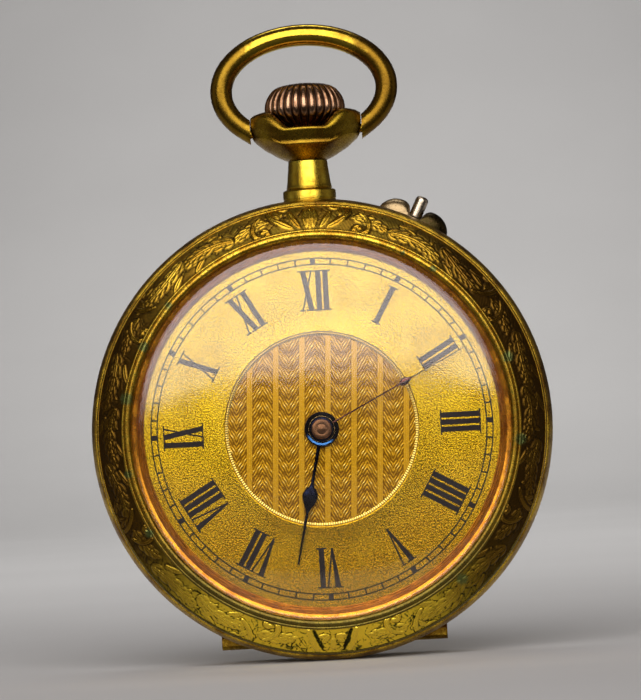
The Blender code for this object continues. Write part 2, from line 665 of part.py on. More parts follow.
def barrel_bridge():
    outline = arc(11.7, -32, -8.5, 6) + [(-1.72, 10.5), (1.72, 10.5)]
    outline += arc(11.7, 8.5, 98, 14) + arc(2.3, 98, -35, 8)
    feet = [arc(11.6, -30, -17, 5) + arc(10.5, -17, -30, 5), arc(11.6, 56, 96, 8) + arc(10.5, 96, 56, 8)]
    screws = [SCREWS[name][0] for name in ("barrel_bridge_screw_a", "barrel_bridge_screw_b")]
    holes = [bore(0.60, 12, BARREL), bore(0.42, 8, CROWN_WHEEL)]
    obj = bridge("barrel_bridge", outline, holes, feet, screws)
    stem_room = box((-1.05, 3.4, 7.2), (1.05, 4.0, 11))
    yoke_room = rod(0.75, (YOKE[0], 3, YOKE[1]), (YOKE[0], 5, YOKE[1]), 16)
    cut(obj, stem_room, yoke_room)


def bridges():
    barrel_bridge()
    bar("centre_bridge", CENTRE, 1.25, "centre_bridge_screw", 0.95, pivot_hole=0.42)
    bar("third_bridge", THIRD, 0.75, "third_bridge_screw", 0.9)
    bar("fourth_bridge", FOURTH, 0.7, "fourth_bridge_screw", 0.9)
    bar("escape_bridge", ESCAPE, 0.55, "escape_bridge_screw", 0.75, y=(2.75, 2.97))
    bar("balance_cock", BALANCE, 1.15, "cock_screw", 1.45, y=(3.88, 4.45), pivot_hole=0.2)


def screws():
    for name, (at, top) in SCREWS.items():
        screw(name, at, top + FIT, 1.5)
    screw("crown_wheel_screw", CROWN_WHEEL, TOP_WHEELS_Y[1] + FIT, 4.03, 0.85, 0.34)


def screw(name, at, top, bottom, head_r=0.55, shank_r=SCREW_R):
    """A cheese-head screw with its slot."""
    head_top = top + 0.2
    profile = [
        (0, bottom), (shank_r, bottom), (shank_r, top), (head_r, top), (head_r, head_top), (0, head_top),
    ]
    obj = add(name, moved(turned(profile, 12), at[0], 0, at[1]), "blued_steel")
    slot = box((-head_r - 0.2, top + 0.1, -0.07), (head_r + 0.2, top + 0.5, 0.07))
    slot.transform(Matrix.Rotation(at[0], 4, "Y"))
    cut(obj, moved(slot, at[0], 0, at[1]))


# ---- Barrel and winding ------------------------------------------------------------------------
def spiral(inner, outer, turns, per_turn, thick, y0, y1):
    """A flat coiled strip."""
    steps = int(turns * per_turn)
    rings = []
    for i in range(steps + 1):
        a = 2 * pi * i / per_turn
        r = inner + (outer - inner) * i / steps
        rings.append([
            (q * sin(a), y, q * cos(a))
            for q, y in ((r, y0), (r + thick, y0), (r + thick, y1), (r, y1))
        ])
    return lofted(rings)


def barrel():
    phase = mesh_phase(BARREL_TEETH, CENTRE_LEAVES, 0.0, heading(BARREL, CENTRE))
    at = (BARREL[0], 0, BARREL[1])
    rim = slab([gear(BARREL_TEETH, BARREL_M, phase), bore(0.50, 12)], 2.18, 2.42)
    drum = add("barrel", moved(rim, BARREL[0], 0, BARREL[1]), "movement_brass", at)
    wall = [(4.12, 2.30), (4.12, 3.08), (3.88, 3.08), (3.88, 2.30)]
    join(drum, moved(turned(wall, 30), BARREL[0], 0, BARREL[1]))
    lid = slab([circle(3.84, 30), bore(0.50, 12)], 2.95, 3.07)
    add("barrel_lid", moved(lid, BARREL[0], 0, BARREL[1]), "movement_brass", at)
    strip = spiral(1.05, 3.60, 4, 16, 0.12, 2.48, 2.88)
    add("mainspring", moved(strip, BARREL[0], 0, BARREL[1]), "blued_steel", at)
    shaft = [
        (0, 1.40), (0.45, 1.40), (0.45, 2.45), (0.95, 2.45), (0.95, 2.92), (0.45, 2.92),
        (0.45, 4.78), (0.9, 4.78), (0.9, 4.98), (0, 4.98),
    ]
    arbor = add("barrel_arbor", moved(turned(shaft, 12), BARREL[0], 0, BARREL[1]), "steel", at)
    slot = box((-1.2, 4.88, -0.09), (1.2, 5.3, 0.09))
    cut(arbor, moved(slot, BARREL[0], 0, BARREL[1]))


def top_wheels():
    phase = pi / CROWN_WHEEL_TEETH  # a gap faces the winding pinion
    wheel = slab([gear(CROWN_WHEEL_TEETH, WINDING_M, phase, 4), bore(0.38, 12)], *TOP_WHEELS_Y)
    at = (CROWN_WHEEL[0], 0, CROWN_WHEEL[1])
    add("crown_wheel", moved(wheel, CROWN_WHEEL[0], 0, CROWN_WHEEL[1]), "steel", at)
    phase = mesh_phase(RATCHET_TEETH, CROWN_WHEEL_TEETH, phase, heading(BARREL, CROWN_WHEEL))
    wheel = slab([gear(RATCHET_TEETH, WINDING_M, phase, 4), bore(0.48, 12)], *TOP_WHEELS_Y)
    at = (BARREL[0], 0, BARREL[1])
    add("ratchet_wheel", moved(wheel, BARREL[0], 0, BARREL[1]), "steel", at)


CLICK = (BARREL[0] + 4.15, BARREL[1] - 2.05)


def click_work():
    """The click that holds the ratchet wheel, and its wire spring."""
    y = (TOP_WHEELS_Y[0] + 0.02, TOP_WHEELS_Y[1] - 0.05)
    toward = heading(CLICK, BARREL)
    local = [
        (-0.50, -0.30), (0.0, -0.58), (0.50, -0.30), (0.52, 0.3),
        (0.62, 0.95), (0.20, 1.02), (-0.30, 0.6), (-0.52, 0.2),
    ]
    bm = slab([local, bore(0.22, 8)], *y)
    bm.transform(Matrix.Rotation(toward - 0.35, 4, "Y"))
    at = (CLICK[0], 0, CLICK[1])
    add("click", moved(bm, CLICK[0], 0, CLICK[1]), "steel", at)
    inner = arc(4.95, 100, 64, 9, BARREL)
    outer = arc(5.07, 64, 100, 9, BARREL)
    add("click_spring", slab([inner + outer], y[0], y[1] - 0.1), "steel")


# ---- Going train -------------------------------------------------------------------------------
def crossed_wheel(teeth, module, phase, hub_r, hole_r, at, y0, y1, name, arms=4):
    """A brass wheel: a toothed rim on arms."""
    rim = pitch(teeth, module) - 1.15 * module - 0.22
    loops = [gear(teeth, module, phase), bore(hole_r, 8)]
    for k in range(arms):
        mid = 360 * (k + 0.5) / arms
        wide, tight = 180 / arms - 6, 180 / arms - 18
        loops.append(arc(rim, mid - wide, mid + wide, 4) + arc(hub_r, mid + tight, mid - tight, 2))
    add(name, moved(slab(loops, y0, y1), at[0], 0, at[1]), "movement_brass", (at[0], 0, at[1]))


def pinion(name, leaves, module, phase, at, levels, slot="steel"):
    """An arbor with its leaves: levels are (y, radius), or (y, None) along the leaves."""
    teeth = gear(leaves, module * LEAF_EASE, phase, 4)
    rings = [(y, teeth if r is None else rounded(teeth, r)) for y, r in levels]
    add(name, moved(stacked(rings), at[0], 0, at[1]), slot, (at[0], 0, at[1]))


def going_train():
    teeth = gear(CENTRE_LEAVES, BARREL_M)
    n = len(teeth)
    levels = [
        (1.26, circle(0.60, n)), (2.16, circle(0.60, n)), (2.16, teeth), (2.43, teeth),
        (2.43, circle(0.54, n)), (3.56, circle(0.54, n)), (3.56, bore(0.32, n)), (1.26, bore(0.32, n)),
    ]
    add("centre_pinion", lofted([[(x, y, z) for x, z in loop] for y, loop in levels], closed=True), "steel")
    shaft = [
        (0, -1.36), (0.45, -1.33), (0.68, -1.20), (0.68, -1.16), (0.28, -1.16), (0.28, 3.60),
        (0.38, 3.60), (0.38, 4.42), (0, 4.42),
    ]
    add("centre_arbor", turned(shaft, 14), "crown_copper")
    wheel_phase = 0.0
    crossed_wheel(CENTRE_TEETH, CENTRE_M, wheel_phase, 0.95, 0.57, CENTRE, 3.20, 3.38, "centre_wheel")

    third_phase = mesh_phase(THIRD_LEAVES, CENTRE_TEETH, wheel_phase, heading(THIRD, CENTRE))
    levels = [
        (1.40, 0.10), (2.42, 0.10), (2.42, 0.22), (3.05, 0.22),
        (3.05, None), (3.52, None), (3.52, 0.12), (4.25, 0.12),
    ]
    pinion("third_pinion", THIRD_LEAVES, CENTRE_M, third_phase, THIRD, levels)
    crossed_wheel(THIRD_TEETH, THIRD_M, third_phase, 0.6, 0.24, THIRD, 2.46, 2.62, "third_wheel")

    fourth_phase = mesh_phase(FOURTH_LEAVES, THIRD_TEETH, third_phase, heading(FOURTH, THIRD))
    levels = [
        (1.40, 0.10), (2.16, 0.10), (2.16, 0.18), (2.41, 0.18),
        (2.41, None), (2.85, None), (2.85, 0.12), (4.25, 0.12),
    ]
    pinion("fourth_pinion", FOURTH_LEAVES, THIRD_M, fourth_phase, FOURTH, levels)
    crossed_wheel(FOURTH_TEETH, FOURTH_M, fourth_phase, 0.55, 0.20, FOURTH, 2.20, 2.36, "fourth_wheel")

    escape_phase = mesh_phase(ESCAPE_LEAVES, FOURTH_TEETH, fourth_phase, heading(ESCAPE, FOURTH))
    levels = [(1.40, 0.10), (2.15, 0.10), (2.15, None), (2.42, None), (2.42, 0.12), (2.94, 0.12)]
    pinion("escape_pinion", ESCAPE_LEAVES, FOURTH_M, escape_phase, ESCAPE, levels)
    escape_wheel(escape_phase)


def escape_wheel(phase):
    """A cylinder escape wheel: a thin rim with hooked teeth."""
    outline = []
    for i in range(ESCAPE_TEETH):
        a = 2 * pi * i / ESCAPE_TEETH + phase
        for share, r in ((0.0, 0.84), (0.10, 1.0), (0.52, 0.90), (0.40, 0.80)):
            b = a + share * 2 * pi / ESCAPE_TEETH
            outline.append((ESCAPE_R * r * sin(b), ESCAPE_R * r * cos(b)))
    loops = [outline, bore(0.14, 8)]
    for k in range(3):
        mid = 120 * (k + 0.5)
        loops.append(arc(0.95, mid - 48, mid + 48, 5) + arc(0.38, mid + 30, mid - 30, 3))
    bm = moved(slab(loops, 2.47, 2.60), ESCAPE[0], 0, ESCAPE[1])
    add("escape_wheel", bm, "steel", (ESCAPE[0], 0, ESCAPE[1]))


# ---- Balance -----------------------------------------------------------------------------------
def balance():
    at = (BALANCE[0], 0, BALANCE[1])

    def place(bm):
        return moved(bm, BALANCE[0], 0, BALANCE[1])

    loops = [circle(3.85, 36), bore(0.20, 10)]
    for k in range(3):
        mid = 120 * k + 60
        loops.append(arc(3.40, mid - 55, mid + 55, 11) + arc(0.62, mid + 36, mid - 36, 3))
    add("balance_wheel", place(slab(loops, 3.08, 3.38)), "movement_brass", at)
    staff = [
        (0, 1.45), (0.09, 1.45), (0.09, 2.14), (0.16, 2.18),
        (0.17, 3.90), (0.09, 3.94), (0.09, 4.40), (0, 4.40),
    ]
    add("balance_staff", place(turned(staff, 10)), "steel", at)
    add("hairspring", place(spiral(0.42, 2.00, 5, 14, 0.05, 3.55, 3.70)), "blued_steel", at)
    pointer = (BALANCE[0] + 2.9 * sin(radians(140)), BALANCE[1] + 2.9 * cos(radians(140)))
    bm = slab([capsule(BALANCE, pointer, 0.85, 0.12, 8), bore(0.40, 10, BALANCE)], 4.48, 4.62)
    add("regulator", bm, "steel", at)


def main():
    for obj in list(bpy.data.objects):
        bpy.data.objects.remove(obj)
    root = bpy.data.objects.new("watch", None)
    bpy.context.scene.collection.objects.link(root)
    root.location = (0, -STEM_Y * MM, -HANG_Z * MM)
    case_middle()
    bezel()
    crystal()
    case_back()
    cuvette()
    hinge_pin()
    pendant_neck()
    crown_cup()
    bow()
    crown()
    winding_stem()
    pin_guard()
    setting_pin()
    setting_yoke()
    keyless_pinions()
    dial()
    hands()
    motion_work()
    main_plate()
    bridges()
    screws()
    screw("yoke_screw", YOKE, 3.53, 1.5, 0.5)
    barrel()
    top_wheels()
    click_work()
    going_train()
    balance()


main()
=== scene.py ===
"""The looks of a gilt fob watch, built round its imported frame.

Sizes are millimetres in the watch's own frame: x to 3 o'clock, y from the dial to the back cover,
z to 12 o'clock, with zero at the centre of the dial's face. piece() and grid_piece() turn them into
the model's metres.
"""

import json
import random
from math import asin, atan2, cos, pi, radians, sin, sqrt

import bmesh
import bpy
import numpy as np
from mathutils import Matrix, Vector


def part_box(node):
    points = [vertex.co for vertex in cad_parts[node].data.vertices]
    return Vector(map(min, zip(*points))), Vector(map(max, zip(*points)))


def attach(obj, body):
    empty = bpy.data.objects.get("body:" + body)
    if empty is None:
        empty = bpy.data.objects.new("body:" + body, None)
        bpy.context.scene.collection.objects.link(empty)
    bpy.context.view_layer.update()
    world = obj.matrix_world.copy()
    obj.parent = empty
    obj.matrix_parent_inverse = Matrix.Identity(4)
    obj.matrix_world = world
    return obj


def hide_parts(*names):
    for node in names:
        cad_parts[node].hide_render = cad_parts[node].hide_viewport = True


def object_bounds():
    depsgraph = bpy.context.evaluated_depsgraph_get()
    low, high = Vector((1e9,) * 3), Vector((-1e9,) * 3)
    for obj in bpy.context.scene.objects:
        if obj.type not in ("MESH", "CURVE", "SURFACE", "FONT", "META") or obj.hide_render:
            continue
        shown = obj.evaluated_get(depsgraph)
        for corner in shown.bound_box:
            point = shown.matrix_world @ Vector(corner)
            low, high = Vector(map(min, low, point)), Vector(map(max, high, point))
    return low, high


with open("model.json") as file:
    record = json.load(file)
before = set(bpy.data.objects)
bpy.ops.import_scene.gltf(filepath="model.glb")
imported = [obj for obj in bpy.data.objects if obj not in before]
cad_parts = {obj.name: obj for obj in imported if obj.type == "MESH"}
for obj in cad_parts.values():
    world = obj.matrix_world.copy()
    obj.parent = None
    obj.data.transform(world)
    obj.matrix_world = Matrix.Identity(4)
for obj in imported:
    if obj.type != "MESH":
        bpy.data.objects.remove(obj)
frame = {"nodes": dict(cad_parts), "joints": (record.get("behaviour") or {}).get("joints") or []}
CAD_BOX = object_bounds()
MM = 0.001


# ---- Places and sizes taken from the frame -------------------------------------------------------
DIAL_LOW, DIAL_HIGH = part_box("dial")
ORIGIN = Vector(((DIAL_LOW.x + DIAL_HIGH.x) / 2, DIAL_LOW.y, (DIAL_LOW.z + DIAL_HIGH.z) / 2))


def node_box(name):
    """A CAD node's corners, in millimetres in the watch's frame."""
    low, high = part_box(name)
    return (low - ORIGIN) / MM, (high - ORIGIN) / MM


def joint_at(name):
    """A point on a joint's axis, in millimetres in the watch's frame."""
    found = [j for j in frame["joints"] if j["name"] == name][0]
    return (Vector(found["pos_m"]) - ORIGIN) / MM


CASE_R = node_box("case_middle")[1].x
BEZEL_R = node_box("bezel")[1].x
DIAL_R = node_box("dial")[1].x
HINGE = joint_at("back_hinge")
STEM_Y = joint_at("crown_turn").y
BOW_PIVOT_Z = joint_at("bow_swing").z
PIN_BOX = node_box("setting_pin")
PIN_ANGLE = radians(26.7)
PIN_Y = (PIN_BOX[0].y + PIN_BOX[1].y) / 2
MINUTE_ANGLE = radians(63.3)
HOUR_ANGLE = radians(193.0)
FIT = 0.03
REACH = CASE_R + 2.0


# ---- Mesh helpers --------------------------------------------------------------------------------
def piece(name, bm, body, finish, replaces=(), sharp=35.0):
    """Turns a bmesh in millimetres into a named piece that rides on a body."""
    for v in bm.verts:
        v.co = v.co * MM + ORIGIN
    mesh = bpy.data.meshes.new(name)
    bm.to_mesh(mesh)
    bm.free()
    mesh.shade_smooth()
    mesh.set_sharp_from_angle(angle=radians(sharp))
    return settle(bpy.data.objects.new(name, mesh), body, finish, replaces)


def grid_piece(name, points, faces, relief, body, finish, replaces=()):
    """A piece from points in millimetres, with its relief as a value on each point."""
    co = np.reshape(points, (-1, 3)) * MM + np.array(ORIGIN)
    mesh = bpy.data.meshes.new(name)
    mesh.from_pydata(co.tolist(), [], faces)
    made = mesh.attributes.new("relief", "FLOAT", "POINT")
    made.data.foreach_set("value", np.ravel(relief).astype(np.float32))
    mesh.shade_smooth()
    return settle(bpy.data.objects.new(name, mesh), body, finish, replaces)


def ring_faces(rows, n):
    """Quads over rows of n points, each row closed on itself."""
    i, j = np.meshgrid(np.arange(rows - 1), np.arange(n), indexing="ij")
    a, b = i * n + j, i * n + (j + 1) % n
    return np.stack([a, b, b + n, a + n], axis=-1).reshape(-1, 4).tolist()


def round_y(r, y, angle):
    """Points at a radius and an angle round the y axis."""
    return np.stack(np.broadcast_arrays(r * np.sin(angle), y, r * np.cos(angle)), axis=-1)


def settle(obj, body, finish, replaces=()):
    """Puts an object in the scene with its material, and says what it rides on and stands for."""
    bpy.context.scene.collection.objects.link(obj)
    obj.data.materials.clear()
    obj.data.materials.append(finish)
    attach(obj, body)
    if replaces:
        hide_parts(*replaces)
    return obj


def bake_modifiers(obj):
    """Applies the object's modifiers to its mesh."""
    seen = bpy.context.evaluated_depsgraph_get()
    mesh = bpy.data.meshes.new_from_object(obj.evaluated_get(seen))
    obj.modifiers.clear()
    obj.data = mesh


def combined(bm, tools, operation):
    """The bmesh after joining or cutting each tool in turn, in millimetres."""
    base = bpy.data.objects.new("base", bpy.data.meshes.new("base"))
    bm.to_mesh(base.data)
    bm.free()
    bpy.context.scene.collection.objects.link(base)
    helpers = []
    for tool in tools:
        helper = bpy.data.objects.new("tool", bpy.data.meshes.new("tool"))
        bmesh.ops.recalc_face_normals(tool, faces=tool.faces[:])
        tool.to_mesh(helper.data)
        tool.free()
        bpy.context.scene.collection.objects.link(helper)
        modifier = base.modifiers.new("combine", "BOOLEAN")
        modifier.object = helper
        modifier.operation = operation
        modifier.solver = "EXACT"
        helpers.append(helper)
    bake_modifiers(base)
    out = bmesh.new()
    out.from_mesh(base.data)
    for obj in helpers + [base]:
        bpy.data.objects.remove(obj)
    return out


def cut(bm, *tools):
    return combined(bm, tools, "DIFFERENCE")


def join(bm, *tools):
    return combined(bm, tools, "UNION")


def turned(profile, segments):
    """A closed profile of (radius, y) spun round the y axis."""
    bm = bmesh.new()
    angles = [2 * pi * i / segments for i in range(segments)]
    rings = []
    for r, y in profile:
        if r == 0:
            rings.append([bm.verts.new((0, y, 0))] * segments)
        else:
            rings.append([bm.verts.new((r * sin(a), y, r * cos(a))) for a in angles])
    for low, high in zip(rings, rings[1:] + rings[:1]):
        for i in range(segments):
            j = (i + 1) % segments
            corners = []
            for v in (low[i], low[j], high[j], high[i]):
                if v not in corners:
                    corners.append(v)
            if len(corners) > 2:
                bm.faces.new(corners)
    bmesh.ops.recalc_face_normals(bm, faces=bm.faces[:])
    return bm


def lofted(rings, closed=False):
    """Skins rings of points in order. Open, its ends are capped; closed, the last ring joins the first."""
    bm = bmesh.new()
    made = [[bm.verts.new(p) for p in ring] for ring in rings]
    pairs = list(zip(made, made[1:])) + ([(made[-1], made[0])] if closed else [])
    for low, high in pairs:
        for i in range(len(low)):
            j = (i + 1) % len(low)
            bm.faces.new((low[i], low[j], high[j], high[i]))
    if not closed:
        bm.faces.new(made[0])
        bm.faces.new(made[-1])
    bmesh.ops.recalc_face_normals(bm, faces=bm.faces[:])
    return bm


def smooth(points, per_span):
    """A Catmull-Rom curve through the points, which may be tuples of any length."""
    pts = [np.array(p, float) for p in points]
    pts = [2 * pts[0] - pts[1]] + pts + [2 * pts[-1] - pts[-2]]
    out = []
    for a, b, c, d in zip(pts, pts[1:], pts[2:], pts[3:]):
        for i in range(per_span):
            t = i / per_span
            bend, twist = 2 * a - 5 * b + 4 * c - d, 3 * b - a - 3 * c + d
            out.append(0.5 * (2 * b + (c - a) * t + bend * t**2 + twist * t**3))
    return [tuple(p) for p in out] + [tuple(pts[-2])]


def slab(loops, y0, y1):
    """An outline with holes, each a list of (x, z), as thick as y0 to y1."""
    bm = bmesh.new()
    for loop in loops:
        ring = [bm.verts.new((x, y0, z)) for x, z in loop]
        for i, v in enumerate(ring):
            bm.edges.new((v, ring[(i + 1) % len(ring)]))
    bmesh.ops.triangle_fill(bm, use_beauty=True, use_dissolve=False, edges=bm.edges[:])
    moved = bmesh.ops.extrude_face_region(bm, geom=bm.faces[:])["geom"]
    verts = [v for v in moved if isinstance(v, bmesh.types.BMVert)]
    bmesh.ops.translate(bm, vec=(0, y1 - y0, 0), verts=verts)
    bmesh.ops.recalc_face_normals(bm, faces=bm.faces[:])
    return bm


def circle(radius, n):
    """Points of (x, z) round the middle."""
    steps = [2 * pi * i / n for i in range(n)]
    return [(radius * sin(a), radius * cos(a)) for a in steps]


def box(low, high):
    bm = bmesh.new()
    bmesh.ops.create_cube(bm, size=1.0)
    bmesh.ops.scale(bm, vec=Vector(high) - Vector(low), verts=bm.verts[:])
    bmesh.ops.translate(bm, vec=(Vector(low) + Vector(high)) / 2, verts=bm.verts[:])
    return bm


def rod(radius, start, end, segments=32):
    """A round bar between two points."""
    a, b = Vector(start), Vector(end)
    bm = bmesh.new()
    length = (b - a).length
    bmesh.ops.create_cone(bm, cap_ends=True, segments=segments, radius1=radius, radius2=radius, depth=length)
    turn = Vector((0, 0, 1)).rotation_difference(b - a).to_matrix().to_4x4()
    bm.transform(Matrix.Translation((a + b) / 2) @ turn)
    return bm


def merged(parts):
    """Several bmeshes in one, as separate shells."""
    out = bmesh.new()
    for part in parts:
        mesh = bpy.data.meshes.new("part")
        part.to_mesh(mesh)
        part.free()
        out.from_mesh(mesh)
        bpy.data.meshes.remove(mesh)
    return out


# ---- Node helpers --------------------------------------------------------------------------------
class Graph:
    """A material's node tree, built by short calls that return sockets."""

    def __init__(self, name):
        self.material = bpy.data.materials.new(name)
        self.material.use_nodes = True
        self.tree = self.material.node_tree
        self.tree.nodes.clear()
        self.out = self.tree.nodes.new("ShaderNodeOutputMaterial")
        coords = self.node("ShaderNodeTexCoord", {}).outputs["Object"]
        moved = self.node("ShaderNodeVectorMath", {0: coords, 1: tuple(ORIGIN)}, operation="SUBTRACT")
        # the place on the object, in millimetres from the dial's centre
        scaled = {0: moved.outputs[0], "Scale": 1 / MM}
        self.at = self.node("ShaderNodeVectorMath", scaled, operation="SCALE").outputs[0]

    def put(self, socket, value):
        if isinstance(value, bpy.types.NodeSocket):
            self.tree.links.new(value, socket)
        elif isinstance(value, tuple) and len(value) == 3 and socket.type == "RGBA":
            socket.default_value = (*value, 1.0)
        else:
            socket.default_value = value

    def node(self, kind, inputs, **settings):
        made = self.tree.nodes.new(kind)
        for key, value in settings.items():
            setattr(made, key, value)
        for key, value in inputs.items():
            self.put(made.inputs[key], value)
        return made

    def axes(self):
        return self.node("ShaderNodeSeparateXYZ", {0: self.at}).outputs

    def noise(self, scale, detail=4.0, roughness=0.7, distortion=0.0, stretch=(1.0, 1.0, 1.0)):
        """Noise over the object, finer along an axis that is stretched more."""
        at = self.node("ShaderNodeVectorMath", {0: self.at, 1: stretch}, operation="MULTIPLY").outputs[0]
        inputs = {"Vector": at, "Scale": scale, "Detail": detail}
        inputs.update({"Roughness": roughness, "Distortion": distortion})
        return self.node("ShaderNodeTexNoise", inputs).outputs["Fac"]

    def attribute(self, name):
        return self.node("ShaderNodeAttribute", {}, attribute_name=name).outputs["Fac"]

    def calc(self, operation, a, b=0.0):
        return self.node("ShaderNodeMath", {0: a, 1: b}, operation=operation).outputs[0]

    def add(self, a, b):
        return self.calc("ADD", a, b)

    def mul(self, a, b):
        return self.calc("MULTIPLY", a, b)

    def swing(self, noise, size):
        """A noise as a push up or down, of about size from end to end."""
        return self.mul(self.calc("SUBTRACT", noise, 0.5), size)

    def band(self, value, low, high, to_low=0.0, to_high=1.0):
        """value from low..high to to_low..to_high, clamped and eased."""
        inputs = {"Value": value, 1: low, 2: high, 3: to_low, 4: to_high}
        return self.node("ShaderNodeMapRange", inputs, interpolation_type="SMOOTHSTEP").outputs[0]

    def mix(self, factor, a, b):
        made = self.tree.nodes.new("ShaderNodeMix")
        made.data_type = "RGBA"
        self.put(made.inputs[0], factor)
        self.put(made.inputs[6], a)
        self.put(made.inputs[7], b)
        return made.outputs[2]

    def mould(self, colour, specks, most):
        """The colour with verdigris over it, where the mesh's value of that name says."""
        grown = self.add(self.attribute("verdigris"), self.mul(specks, 0.9))
        return self.mix(self.band(grown, 0.75, 1.25, 0.0, most), colour, VERDIGRIS)

    def surface(self, shader):
        self.tree.links.new(shader.outputs[0], self.out.inputs["Surface"])
        return self.material

    def metal(self, colour, roughness, relief=None, depth=0.0, strength=1.0, metallic=1.0, specular=0.5):
        """The finished material, with fine relief of a depth in millimetres."""
        inputs = {"Base Color": colour, "Roughness": roughness}
        inputs.update({"Metallic": metallic, "Specular IOR Level": specular})
        if relief is not None:
            lift = {"Height": relief, "Distance": depth * MM, "Strength": strength}
            bump = self.node("ShaderNodeBump", lift)
            inputs["Normal"] = bump.outputs["Normal"]
        return self.surface(self.node("ShaderNodeBsdfPrincipled", inputs))


# ---- Materials -----------------------------------------------------------------------------------
GOLD = (0.78, 0.50, 0.045)
GREEN_GOLD = (0.80, 0.60, 0.065)
PALE_GOLD = (0.95, 0.76, 0.22)
DEEP_GOLD = (0.46, 0.23, 0.016)
BROWN_GOLD = (0.22, 0.105, 0.012)
UMBER = (0.11, 0.050, 0.007)
SOOT = (0.022, 0.015, 0.005)
OLIVE = (0.13, 0.115, 0.016)
VERDIGRIS = (0.10, 0.14, 0.045)


def gilt(name, gold, deep, wear=0.4, tarnish=0.5, roughness=(0.14, 0.34), grain=0.010):
    """Old gilding: gold that browns in patches, with fine scratches and a soft uneven shine."""
    g = Graph(name)
    patches = g.noise(0.55, 5.0, 0.6, 0.4)
    specks = g.noise(5.5, 4.0, 0.65)
    fine = g.noise(26.0, 3.0, 0.6)
    scratch = g.noise(3.0, 3.0, stretch=(1.0, 14.0, 5.0))
    colour = g.mix(g.band(patches, 0.30, 0.70), gold, deep)
    colour = g.mix(g.mul(g.band(specks, 0.50, 0.70), tarnish), colour, UMBER)
    colour = g.mix(g.mul(g.band(fine, 0.60, 0.80), wear), colour, PALE_GOLD)
    rough = g.band(g.add(specks, g.mul(scratch, 0.5)), 0.45, 1.0, *roughness)
    return g.metal(colour, rough, g.add(fine, g.mul(scratch, 1.5)), grain, 0.6)


def bow_gilt():
    """The bow's gilding: bright at the top, and darker and browner down both sides and at the ends."""
    g = Graph("gilt_bow")
    x, _, z = g.axes()
    patches = g.noise(0.8, 5.0, 0.65, 0.5)
    specks = g.noise(6.0, 4.0, 0.65)
    drift = g.swing(patches, 5.0)
    right = g.band(g.add(x, drift), 1.5, 4.6)
    left = g.band(g.calc("SUBTRACT", drift, x), 2.4, 5.0, 0.0, 0.92)
    low = g.band(g.add(z, drift), 21.0, 25.0, 0.75, 0.0)
    # worn marks where the bow is darker, browner and rougher: down both sides and towards the ends
    worn = g.calc("MAXIMUM", g.calc("MAXIMUM", right, low), left)
    colour = g.mix(g.band(patches, 0.30, 0.70, 0.0, 0.6), (0.72, 0.50, 0.045), (0.38, 0.20, 0.014))
    colour = g.mix(g.mul(worn, 0.92), colour, (0.145, 0.070, 0.007))
    colour = g.mix(g.band(specks, 0.52, 0.74, 0.0, 0.5), colour, UMBER)
    rough = g.add(g.band(specks, 0.35, 0.75, 0.12, 0.24), g.mul(worn, 0.14))
    return g.metal(colour, rough, specks, 0.010, 0.6)


def engraved_gilt():
    """The bezel's engraved gilding: rubbed ridges over a brown ground, with old dirt in the cuts. Painted
    shade darkens it towards the sides, and painted light keeps the bottom a brighter gold."""
    g = Graph("engraved_gilt")
    x, _, z = g.axes()
    patches = g.noise(0.50, 5.0, 0.65, 0.6)
    mottle = g.noise(1.7, distortion=0.8)
    specks = g.noise(7.0)
    off_middle = g.calc("ABSOLUTE", g.add(x, 1.3))
    # painted shade: side darkens the gold and the ground towards 3 and 9 o'clock
    side = g.band(g.add(off_middle, g.mul(patches, 5.0)), 8.0, 15.5)
    # painted light: low brightens the gold towards 6 o'clock and turns the ground there pale gold, mottled
    # with green patina
    low = g.band(z, -13.0, -6.0, 1.0, 0.0)
    gold = g.mix(g.band(patches, 0.36, 0.64), (0.64, 0.41, 0.036), (0.38, 0.19, 0.013))
    gold = g.mix(low, gold, (0.92, 0.64, 0.055))
    gold = g.mix(g.mul(side, 0.92), gold, (0.120, 0.058, 0.008))
    low_ground = g.mix(g.band(mottle, 0.52, 0.64), (0.95, 0.68, 0.050), (0.075, 0.085, 0.014))
    ground = g.mix(g.band(patches, 0.42, 0.58), (0.26, 0.142, 0.015), (0.19, 0.122, 0.014))
    ground = g.mix(low, ground, low_ground)
    ground = g.mix(g.mul(side, 0.95), ground, (0.045, 0.021, 0.004))
    dirt = g.mix(g.band(specks, 0.42, 0.60), SOOT, g.mix(low, UMBER, (0.045, 0.055, 0.010)))
    ground = g.mix(g.band(mottle, 0.50, 0.66, 0.0, 0.6), ground, dirt)
    high = g.add(g.attribute("relief"), g.swing(specks, 0.5))
    colour = g.mix(g.band(high, 0.02, 0.26), dirt, ground)
    colour = g.mix(g.band(high, 0.38, 0.72), colour, gold)
    colour = g.mould(colour, specks, 0.75)
    return g.metal(colour, g.band(high, 0.2, 0.9, 0.50, 0.24), specks, 0.02, 0.8)


def lip_gilt():
    """The plain rim round the glass, stippled by patina, browned towards the sides by painted shade, and
    dark green-brown towards the bottom.
    """
    g = Graph("lip_gilt")
    x, _, z = g.axes()
    patches = g.noise(0.9, 4.0, 0.6, 0.6)
    specks = g.noise(9.0)
    # painted shade: side browns the rim towards 3 and 9 o'clock
    side = g.band(g.calc("ABSOLUTE", x), 6.0, 13.0)
    colour = g.mix(g.band(patches, 0.36, 0.62), GOLD, DEEP_GOLD)
    colour = g.mix(g.mul(side, 0.65), colour, BROWN_GOLD)
    colour = g.mix(g.band(specks, 0.48, 0.64), colour, OLIVE)
    bottom = g.mix(specks, (0.04, 0.038, 0.010), (0.11, 0.094, 0.028))
    colour = g.mix(g.band(z, -11.0, -3.0, 0.85, 0.0), colour, bottom)
    colour = g.mould(colour, specks, 0.8)
    return g.metal(colour, g.band(specks, 0.35, 0.65, 0.20, 0.42), specks, 0.014, 0.7)


